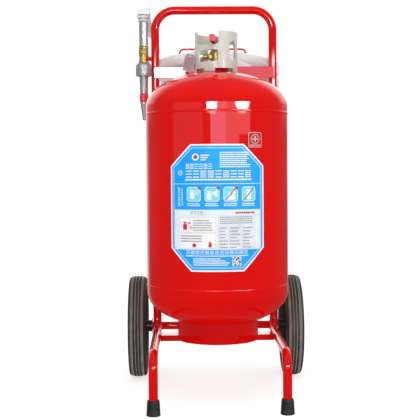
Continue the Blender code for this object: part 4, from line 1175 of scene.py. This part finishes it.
def gauge():
    """A pressure gauge with a plain scale, its face to the left."""
    at, out = (0, 0, GAUGE_Z), TO_THE_LEFT
    depth = 0.0375
    stem = [(0, depth - 0.0003), (0.0060, depth - 0.0003), (0.0060, 0.0322), (0.0064, 0.0318),
            (0.0075, 0.0312),
            (0.0075, 0.0248), (0.0064, 0.0242), (0.0060, 0.0238), (0.0060, 0.0218), (0, 0.0218)]
    turned("gauge_stem", stem, "brass", at, out)
    case = [(0, depth + 0.0015), (0.0184, depth + 0.0015), (0.0184, depth + 0.0106), (0.0188, depth + 0.0110),
            (0.0196, depth + 0.0110), (0.0200, depth + 0.0106), (0.0200, depth + 0.0086),
            (0.0196, depth + 0.0080),
            (0.0196, depth + 0.0016), (0.0188, depth + 0.0004), (0.0178, depth), (0, depth)]
    turned("gauge_case", case, "chrome", at, out, 96)
    face = depth + 0.0024
    dial = [(0, depth + 0.0018), (0.0180, depth + 0.0018), (0.0180, face), (0, face)]
    turned("gauge_dial", dial, "dial_face", at, out, 96)
    lens = [(0, depth + 0.0092), (0.0176, depth + 0.0092), (0.0181, depth + 0.0095), (0.0181, depth + 0.0099),
            (0.0160, depth + 0.0102), (0, depth + 0.0103)]
    turned("gauge_lens", lens, "lens_glass", at, out, 96)
    zones = (("label_red", -45, 18), ("label_green", 18, 100), ("label_yellow", 100, 225))
    for look_name, start, end in zones:
        mesh = band(0.0118, 0.0132, start, end, face - 0.0002, face + 0.0001, 24)
        piece(f"dial_zone_{look_name[6:]}", mesh, look_name, at, out)
    ticks = []
    for i in range(31):
        angle = math.radians(-45 + 9 * i)
        long_tick = i % 5 == 0
        outer, inner, half = 0.0162, 0.0142 if long_tick else 0.0152, 0.00022 if long_tick else 0.00012
        corners = [(inner, -half), (outer, -half), (outer, half), (inner, half)]
        c, s = math.cos(angle), math.sin(angle)
        ticks.append(prism("tick", [(x * c - y * s, x * s + y * c) for x, y in corners], face - 0.0002,
                           face + 0.0001))
    for i, text in enumerate(("3", "2", "1", "0")):
        angle = math.radians(-45 + 90 * i)
        number = moved(number_mesh(text, 0.0042), (0, 0, 0), (0, 0, math.radians(90)))
        ticks.append(moved(number, (0.0092 * math.cos(angle), 0.0092 * math.sin(angle), face)))
    piece("dial_scale", joined("scale", *ticks), "label_black", at, out)
    # The needle points up at rest
    blade_outline = [(0.0007, -0.0050), (0.0009, 0.0), (0.0003, 0.0130), (-0.0003, 0.0130), (-0.0009, 0.0),
                     (-0.0007, -0.0050)]
    blade = prism("blade", blade_outline, -0.00025, 0.00025)
    blade = moved(blade, (-(depth + 0.0052), 0, 0), (math.radians(90), 0, math.radians(-90)))
    hub = moved(lathe("hub", [(0, depth + 0.0029), (0.0018, depth + 0.0029), (0.0018, depth + 0.0059),
                              (0.0014, depth + 0.0062), (0, depth + 0.0062)], 32), (0, 0, 0), out)
    stand_in("gauge_needle", combined(blade, hub, operation="UNION"), "black_paint", at)


def outlet():
    at = (0, 0, OUTLET_Z)
    profile = [(0.0080, 0.0403), (0.0080, 0.0980), (0.0098, 0.0980), (0.0106, 0.0970)]
    for i in range(3):
        base = 0.0900 - 0.0100 * i
        profile += [(0.0120, base), (0.0106, base - 0.0006)]
    profile += [(0.0106, 0.0575), (0.0150, 0.0570), (0.0150, 0.0403)]
    nut = bolt_hex(0.0329, 0.0403, 0.0560, bore=0.0100)
    mesh = combined(lathe("tail", profile, 64, closed=True), nut, operation="UNION")
    stand_in("outlet_fitting", bevelled(mesh, 0.0003, 2, 50), "brass", at, ALONG_Y, 20)
    strap = [(0.0140, 0.0740), (0.0146, 0.0740), (0.0148, 0.0744), (0.0148, 0.0846), (0.0146, 0.0850),
             (0.0140, 0.0850)]
    strap = lathe("strap", strap, 72, closed=True)
    slots = [moved(block("slot", (-0.0010, -0.0003, -0.0040), (0.0010, 0.0008, 0.0040)),
                   (0.0146 * math.cos(a), 0.0146 * math.sin(a), 0.0795), (0, 0, a + math.pi / 2))
             for a in [math.radians(150 + 12 * i) for i in range(5)]]
    housing = bevelled(block("housing", (0.0136, -0.0062, 0.0745), (0.0212, 0.0062, 0.0845)), 0.0012, 2)
    screw = moved(bolt_hex(0.0070, 0.0, 0.0050), (0.0176, 0.0062, 0.0795), ALONG_Y)
    mesh = joined("clamp", strap, *slots, housing, screw)
    stand_in("outlet_clamp", mesh, "zinc_steel", at, ALONG_Y)


# Nozzle

def knurl(count, depth):
    return lambda a, r, z: r - (depth * (0.5 + 0.5 * math.cos(count * a)) if r > 0.0130 else 0)


def nozzle():
    at, bore = (NOZZLE_X, NOZZLE_Y, 0), 0.0085
    tail = [(bore, 1.1030), (0.0118, 1.1030), (0.0128, 1.1024), (0.0135, 1.1008), (0.0135, 1.0960),
            (0.0131, 1.0956),
            (0.0131, 1.0944), (0.0135, 1.0940), (0.0135, 1.0345), (0.0132, 1.0341), (0.0132, 1.0329),
            (0.0135, 1.0325),
            (0.0135, 1.0280), (0.0130, 1.0273), (bore, 1.0273)]
    stand_in("nozzle_tail", lathe("tail", tail, 72, closed=True), "aluminium", at)
    coupling = [(bore, 1.0270), (0.0138, 1.0270), (0.0146, 1.0264), (0.0150, 1.0250), (0.0150, 1.0196),
                (0.0146, 1.0190), (0.0136, 1.0186), (0.0136, 1.0172), (0.0146, 1.0168), (0.0150, 1.0162),
                (0.0150, 1.0060), (0.0146, 1.0042), (0.0138, 1.0035), (bore, 1.0035)]
    stand_in("nozzle_coupling", lathe("coupling", coupling, 180, True, knurl(45, 0.00035)), "brass", at,
             angle=50)
    nut = [(bore, 1.0032), (0.0134, 1.0032), (0.0142, 1.0027), (0.0150, 1.0018), (0.0150, 0.9992),
           (0.0142, 0.9984),
           (0.0134, 0.9975), (0.0134, 0.9856), (0.0142, 0.9846), (0.0150, 0.9838), (0.0150, 0.9788),
           (0.0146, 0.9783),
           (bore, 0.9783)]
    stand_in("nozzle_nut", lathe("nut", nut, 72, True), "brass", at)

    def fluted(a, r, z):
        if r < 0.0170:
            return r
        return r * (1 - 0.03 * (0.5 + 0.5 * math.cos(8 * a)) ** 6)

    collar = [(0.0153, 0.9778), (0.0165, 0.9778), (0.0178, 0.9770), (0.0236, 0.9712), (0.0243, 0.9703),
              (0.0245, 0.9692), (0.0245, 0.9392), (0.0242, 0.9383), (0.0234, 0.9379), (0.0182, 0.9379),
              (0.0176, 0.9363), (0.0153, 0.9363)]
    stand_in("nozzle_collar", lathe("collar", collar, 144, True, fluted), "aluminium", at, angle=40)
    barrel = [(bore, 0.9780), (0.0137, 0.9780), (0.0137, 0.9350), (0.0132, 0.9330), (0.0120, 0.8852),
              (0.0112, 0.8846),
              (0.0110, 0.8840), (0.0110, 0.8605), (0.0075, 0.8603), (0.0075, 0.9300), (bore, 0.9400)]
    stand_in("nozzle_barrel", lathe("barrel", barrel, 72, True), "aluminium", at)
    ring = [(0.0113, 0.8842), (0.0120, 0.8842), (0.0128, 0.8832), (0.0135, 0.8812), (0.0135, 0.8760),
            (0.0131, 0.8754),
            (0.0131, 0.8740), (0.0135, 0.8734), (0.0135, 0.8700), (0.0131, 0.8694), (0.0131, 0.8680),
            (0.0135, 0.8674),
            (0.0135, 0.8624), (0.0130, 0.8610), (0.0120, 0.8605), (0.0113, 0.8605)]
    stand_in("nozzle_band", lathe("band", ring, 72, True), "red_plastic", at)
    tip = [(0.0050, 0.8600), (0.0112, 0.8600), (0.0116, 0.8592), (0.0114, 0.8560), (0.0098, 0.8450),
           (0.0074, 0.8290),
           (0.0052, 0.8130), (0.0050, 0.8075), (0.0047, 0.8056), (0.0042, 0.8050), (0.0034, 0.8050),
           (0.0030, 0.8056)]
    stand_in("nozzle_tip", lathe("tip", tip, 72, True), "aluminium", at)


def hang_tag():
    """A printed card with a metal eyelet ring, leaning on the guard."""
    at, turn = (-0.0815, -0.014, 0.9305), (math.radians(90), math.radians(12), math.radians(-18))
    outline = [(-0.016, 0), (0.016, 0), (0.016, 0.040), (0.009, 0.048), (-0.009, 0.048), (-0.016, 0.040)]

    def curled(mesh):
        for vertex in mesh.vertices:
            y = vertex.co.y
            vertex.co.z += 0.0022 * (2 * y / 0.048 - 1) ** 2 - 0.0011
        return mesh

    card = curled(sheet("card", [outline], -0.0004, 1, 0.004, 0.0008))
    hole = moved(rod(0.0022, -0.01, 0.01, 32), (0, 0.0425, 0))
    stand_in("hang_tag", combined(card, hole), "tag_card", at, turn)
    rng = random.Random(3)
    lines = []
    for row in range(7):
        x, y = -0.0125, 0.0335 - 0.0044 * row
        while x < 0.0105:
            long = rng.uniform(0.0015, 0.0045)
            lines.append([(x, y), (min(x + long, 0.0125), y), (min(x + long, 0.0125), y + 0.0012),
                          (x, y + 0.0012)])
            x += long + 0.0008
    piece("tag_lines", curled(sheet("lines", lines, 0.0003, 1, 0.004, 0.00025)), "label_maroon", at, turn)
    eyelet = lathe("eyelet", sleeve(0.0021, 0.0036, -0.0006, 0.0010, 0.0003), 40, closed=True)
    piece("tag_eyelet", moved(eyelet, (0, 0.0425, 0.0005)), "zinc_steel", at, turn)


def sheet(name, outlines, height, axis, pitch, thick):
    """Flat outlines at one height, cut into strips across an axis so that they bend, thickened upwards."""
    bm = bmesh.new()
    for outline in outlines:
        bm.faces.new([bm.verts.new((x, y, height)) for x, y in outline])
    low = min(v.co[axis] for v in bm.verts)
    high = max(v.co[axis] for v in bm.verts)
    normal = [0, 0, 0]
    normal[axis] = 1
    cut = math.floor(low / pitch) * pitch + pitch
    while cut < high:
        place = [0, 0, 0]
        place[axis] = cut
        bmesh.ops.bisect_plane(bm, geom=bm.verts[:] + bm.edges[:] + bm.faces[:], plane_co=place,
                               plane_no=normal,
                               dist=1e-7)
        cut += pitch
    made = bmesh.ops.extrude_face_region(bm, geom=bm.faces[:], use_keep_orig=True)
    for vertex in made["geom"]:
        if isinstance(vertex, bmesh.types.BMVert):
            vertex.co.z += thick
    bmesh.ops.recalc_face_normals(bm, faces=bm.faces)
    out = bpy.data.meshes.new(name)
    bm.to_mesh(out)
    bm.free()
    return out


# Label

def rect(left, low, right, high):
    return [(left, low), (right, low), (right, high), (left, high)]


def chamfered(left, low, right, high, corner):
    return [(left + corner, low), (right - corner, low), (right, low + corner), (right, high - corner),
            (right - corner, high), (left + corner, high), (left, high - corner), (left, low + corner)]


def disc(u, v, radius, steps=20):
    return arc((u, v), radius, 0, 360, steps)[:-1]


def frame_of(outer, inner):
    """The band between two outlines with the same number of corners, as one shape for each side."""
    count = len(outer)
    return [[outer[i], outer[(i + 1) % count], inner[(i + 1) % count], inner[i]] for i in range(count)]


def hoop(u, v, outer, inner, steps):
    """A flat ring as its separate quads."""
    turns = [2 * math.pi * k / steps for k in range(steps + 1)]
    return [[(u + r * math.cos(a), v + r * math.sin(a)) for r,
             a in ((outer, a0), (outer, a1), (inner, a1), (inner, a0))]
            for a0, a1 in zip(turns, turns[1:])]


def inset(outline, distance):
    """A convex outline, counterclockwise, moved in by a distance."""
    count, lines = len(outline), []
    for i in range(count):
        p, q = Vector(outline[i]), Vector(outline[(i + 1) % count])
        along = (q - p).normalized()
        inward = Vector((-along.y, along.x))
        lines.append((p + inward * distance, along))
    out = []
    for i in range(count):
        (p, d), (q, e) = lines[i - 1], lines[i]
        cross = d.x * e.y - d.y * e.x
        t = ((q.x - p.x) * e.y - (q.y - p.y) * e.x) / cross
        out.append(tuple(p + d * t))
    return out


def line_of_dashes(left, low, right, high, longest, rng):
    """One line of small print, as plain dashes."""
    shapes, u = [], left
    while u < right - 0.6:
        end = min(right, u + rng.uniform(0.35, 1.0) * longest)
        shapes.append(rect(u, low, end, high))
        u = end + rng.uniform(0.5, 1.1)
    return shapes


def small_print(left, low, right, high, lines, rng, longest=4.0, ragged=0.25):
    shapes, pitch = [], (high - low) / lines
    for i in range(lines):
        base = high - pitch * (i + 1) + pitch * 0.30
        end = right - (right - left) * rng.uniform(0, ragged)
        shapes += line_of_dashes(left, base, end, base + pitch * 0.50, longest, rng)
    return shapes


def headline(left, low, right, high, count, rng):
    """A line of large marks, each a plain stack of bars."""
    shapes, pitch = [], (right - left) / count
    for i in range(count):
        u0, u1 = left + pitch * (i + 0.10), left + pitch * (i + 0.90)
        bars = rng.choice((3, 4))
        thick = (high - low) * 0.13
        for k in range(bars):
            v = low + (high - low - thick) * k / (bars - 1)
            shapes.append(rect(u0, v, u1, v + thick))
    return shapes


def bottle(u, v, size):
    """A small extinguisher: body, shoulder, neck and lever."""
    w = size * 0.26
    return [chamfered(u - w, v - size * 0.5, u + w, v + size * 0.22, size * 0.08),
            rect(u - w * 0.35, v + size * 0.22, u + w * 0.35, v + size * 0.34),
            [(u - w * 0.9, v + size * 0.34), (u + w * 1.1, v + size * 0.34), (u + w * 1.1, v + size * 0.42),
             (u - w * 0.9, v + size * 0.50)]]


def label_shapes():
    """The label's outlines in millimetres, right and up from its middle, as {(layer, look): outlines}."""
    rng = random.Random(11)
    made = {}

    def add(layer, look_name, *shapes):
        made.setdefault((layer, look_name), []).extend(shapes)

    edge = [(-72, -169), (72, -169), (133, -107), (133, 111), (72, 169), (-72, 169), (-133, 111),
            (-133, -107)]
    add(1, "label_white", edge)
    add(2, "label_blue", inset(edge, 4.2))
    add(3, "label_white", *frame_of(inset(edge, 9.5), inset(edge, 10.7)))

    # White lower field, between the side bands
    add(3, "label_ice", rect(-121, -110.5, 121, -4.4))
    add(3, "label_white", rect(-122.5, 63.5, 122.5, 64.7))

    # Round mark and bars at the top left, small print at the top right
    for quad in hoop(-58, 135, 9.5, 6.2, 16):
        add(3, "label_white", quad)
    add(3, "label_red", disc(-58, 135, 4.2))
    add(3, "label_white", *[rect(-44, 138 - 6 * k, -20 - 5 * k, 141 - 6 * k) for k in range(3)])
    add(3, "label_white", *small_print(7, 106, 92, 149, 8, rng, 6.0, 0.15))
    add(3, "label_white", *headline(-87, 104, -12, 117, 6, rng))
    add(3, "label_white", *headline(-87, 81, 94, 99, 9, rng))
    add(3, "label_white", *small_print(-87, 71, 94, 78.5, 1, rng, 9.0, 0.0))
    for quad in hoop(-102.5, 93.5, 6.8, 5.4, 12):
        add(3, "label_white", quad)
    add(3, "label_white", rect(-105.5, 92.5, -99.5, 94.5))

    # Four pictures in boxes, each with its line of print
    for low in (44, 31, 18, 5):
        add(3, "label_white", *headline(-111, low, -102, low + 10, 1, rng))
    add(3, "label_white", *[rect(-98.5, 7 + 4.6 * k, -95.5, 9.6 + 4.6 * k) for k in range(10)])
    for index, left in enumerate((-83, -33.5, 16, 66.5)):
        right = left + 39
        box = chamfered(left, 17, right, 56, 5)
        add(3, "label_white", box)
        add(4, "label_cyan", inset(box, 1.5))
        middle_u = (left + right) / 2
        if index == 0:
            add(5, "label_white", *bottle(middle_u - 4, 36, 24),
                *frame_of(disc(middle_u + 10, 42, 6, 16), disc(middle_u + 10, 42, 4, 16)))
        elif index == 1:
            add(5, "label_white", *bottle(middle_u - 8, 34, 24),
                [(middle_u - 2, 40), (middle_u + 14, 48), (middle_u + 14, 28)])
        elif index == 2:
            add(5, "label_white",
                [(middle_u - 14, 22), (middle_u + 4, 22), (middle_u - 2, 44), (middle_u - 7, 34)],
                disc(middle_u + 8, 42, 5), rect(middle_u + 4, 22, middle_u + 12, 36))
        else:
            add(5, "label_white", *bottle(middle_u, 36, 26))
        if index < 3:
            add(5, "label_red", [(right - 10, 56), (right, 56), (right, 46)])
        if index > 1:
            add(6, "label_red", [(left + 4, 21), (left + 6, 19), (right - 4, 52), (right - 6, 54)])
        add(3, "label_white", *small_print(left + 1, 4, right - 1, 13.5, 2, rng, 5.0, 0.1))

    # Lower field: two panels with a red bottle each, and two tables
    add(4, "label_grey", *headline(-74, -16, -38, -8.5, 4, rng))
    add(4, "label_maroon", *small_print(48, -17.5, 104, -9, 1, rng, 6.0, 0.0))
    for low, high in ((-64, -25), (-107, -67)):
        panel = rect(-106, low, -5, high)
        add(4, "label_pink", *frame_of(panel, inset(panel, 0.8)))
        add(4, "label_white", *[inset(panel, 0.8)])
    add(5, "label_red", *bottle(-89, -47, 22))
    add(5, "label_grey", [(-83, -40), (-74, -36), (-74, -44)])
    add(5, "label_pink", [(-79, -50), (-70, -46), (-66, -54), (-74, -58)])
    add(5, "label_red", *bottle(-20, -96, 16))
    add(5, "label_red", disc(-63, -99, 5.5))
    add(5, "label_grey", *small_print(-66, -62, -9, -30, 5, rng, 5.0, 0.2))
    add(5, "label_grey", *small_print(-102, -92, -32, -71, 3, rng, 5.0, 0.2))
    box = rect(2, -45, 104, -20)
    add(4, "label_pink", *frame_of(box, inset(box, 0.8)))
    add(4, "label_grey", *small_print(6, -43, 100, -22, 4, rng, 6.0, 0.1))
    table = rect(2, -109, 104, -49)
    add(4, "label_pink", *frame_of(table, inset(table, 0.8)))
    for row in range(1, 7):
        v = -49 - 60 * row / 7
        add(4, "label_pink", rect(2.8, v, 103.2, v + 0.6))
    for u in (30, 66):
        add(5, "label_pink", rect(u, -108.2, u + 0.6, -49.8))
    for row in range(7):
        v = -49 - 60 * (row + 1) / 7
        for left, right, ragged in ((5, 28, 0.4), (33, 64, 0.5), (69, 100, 0.5)):
            add(5, "label_grey", *small_print(left, v + 1.4, right, v + 7.2, 1, rng, 5.0, ragged))

    # Foot of the label
    add(3, "label_white", *headline(-87, -122, 83, -113, 13, rng))
    add(3, "label_white", *small_print(-87, -129.5, 83, -125, 1, rng, 7.0, 0.0))
    add(3, "label_white", *small_print(-66, -154, 36, -132, 4, rng, 5.0, 0.3))
    add(3, "label_white", rect(39, -154, 63, -130))
    for row in range(11):
        for column in range(11):
            if rng.random() < 0.45:
                u, v = 40 + 2 * column, -153 + 2 * row
                add(4, "label_black", rect(u, v, u + 2, v + 2))
    return made


def sticker_shapes():
    """A small square sticker, right and up from the label's middle."""
    made = {}
    outer = chamfered(86, 160, 127, 200, 3)
    made[(1, "label_pink")] = [outer]
    made[(2, "label_maroon")] = [inset(outer, 1.4)]
    made[(3, "label_pink")] = frame_of(disc(106.5, 182, 13, 28), disc(106.5, 182, 11.4, 28))
    made[(3, "label_pink")] += [rect(98, 180.6, 115, 183.4), rect(105, 173.5, 108, 190.5)]
    made[(3, "label_pink")] += [rect(90, 163.5, 123, 164.9), rect(90, 166.3, 123, 167.3)]
    return made


def printed(prefix, shapes):
    """Lays the outlines on the tank as thin layers of film."""
    for (layer, look_name), outlines in sorted(shapes.items()):
        in_metres = [[(u / 1000, v / 1000) for u, v in outline] for outline in outlines]
        film = sheet("film", in_metres, -0.0002, 0, 0.005, 0.0003 + 0.00012 * layer)
        for vertex in film.vertices:
            radius, angle = TANK_RADIUS + vertex.co.z, vertex.co.x / TANK_RADIUS
            vertex.co = (radius * math.sin(angle), -radius * math.cos(angle), vertex.co.y)
        film.flip_normals()
        piece(f"{prefix}_{layer}_{look_name[6:]}", film, look_name, (0, 0, LABEL_Z), (0, 0, LABEL_TURN))


def kept_nodes():
    """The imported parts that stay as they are, inside others, get the finer materials."""
    for name, look_name in (("axle_rod", "zinc_steel"), ("dip_tube", "aluminium"),
                            ("dip_strainer", "white_nylon"),
                            ("neck_gasket", "black_rubber")):
        obj = frame["nodes"][name]
        obj.data.materials.clear()
        obj.data.materials.append(look(look_name))


camera()
hose_piece, hose_line, hose_length = hose()
clamps = hose_clamps()
tube_frame()
frame_bars()
lower_crossbar()
axle()
hose_rack()
nozzle_bracket()
for wheel_side in SIDES:
    tyre(*wheel_side)
    wheel_rim(*wheel_side)
tank()
valve_guard()
valve()
bonnet_and_lever()
gauge()
outlet()
nozzle()
hang_tag()
printed("label", label_shapes())
printed("sticker", sticker_shapes())
kept_nodes()
lights()
world()
stage()
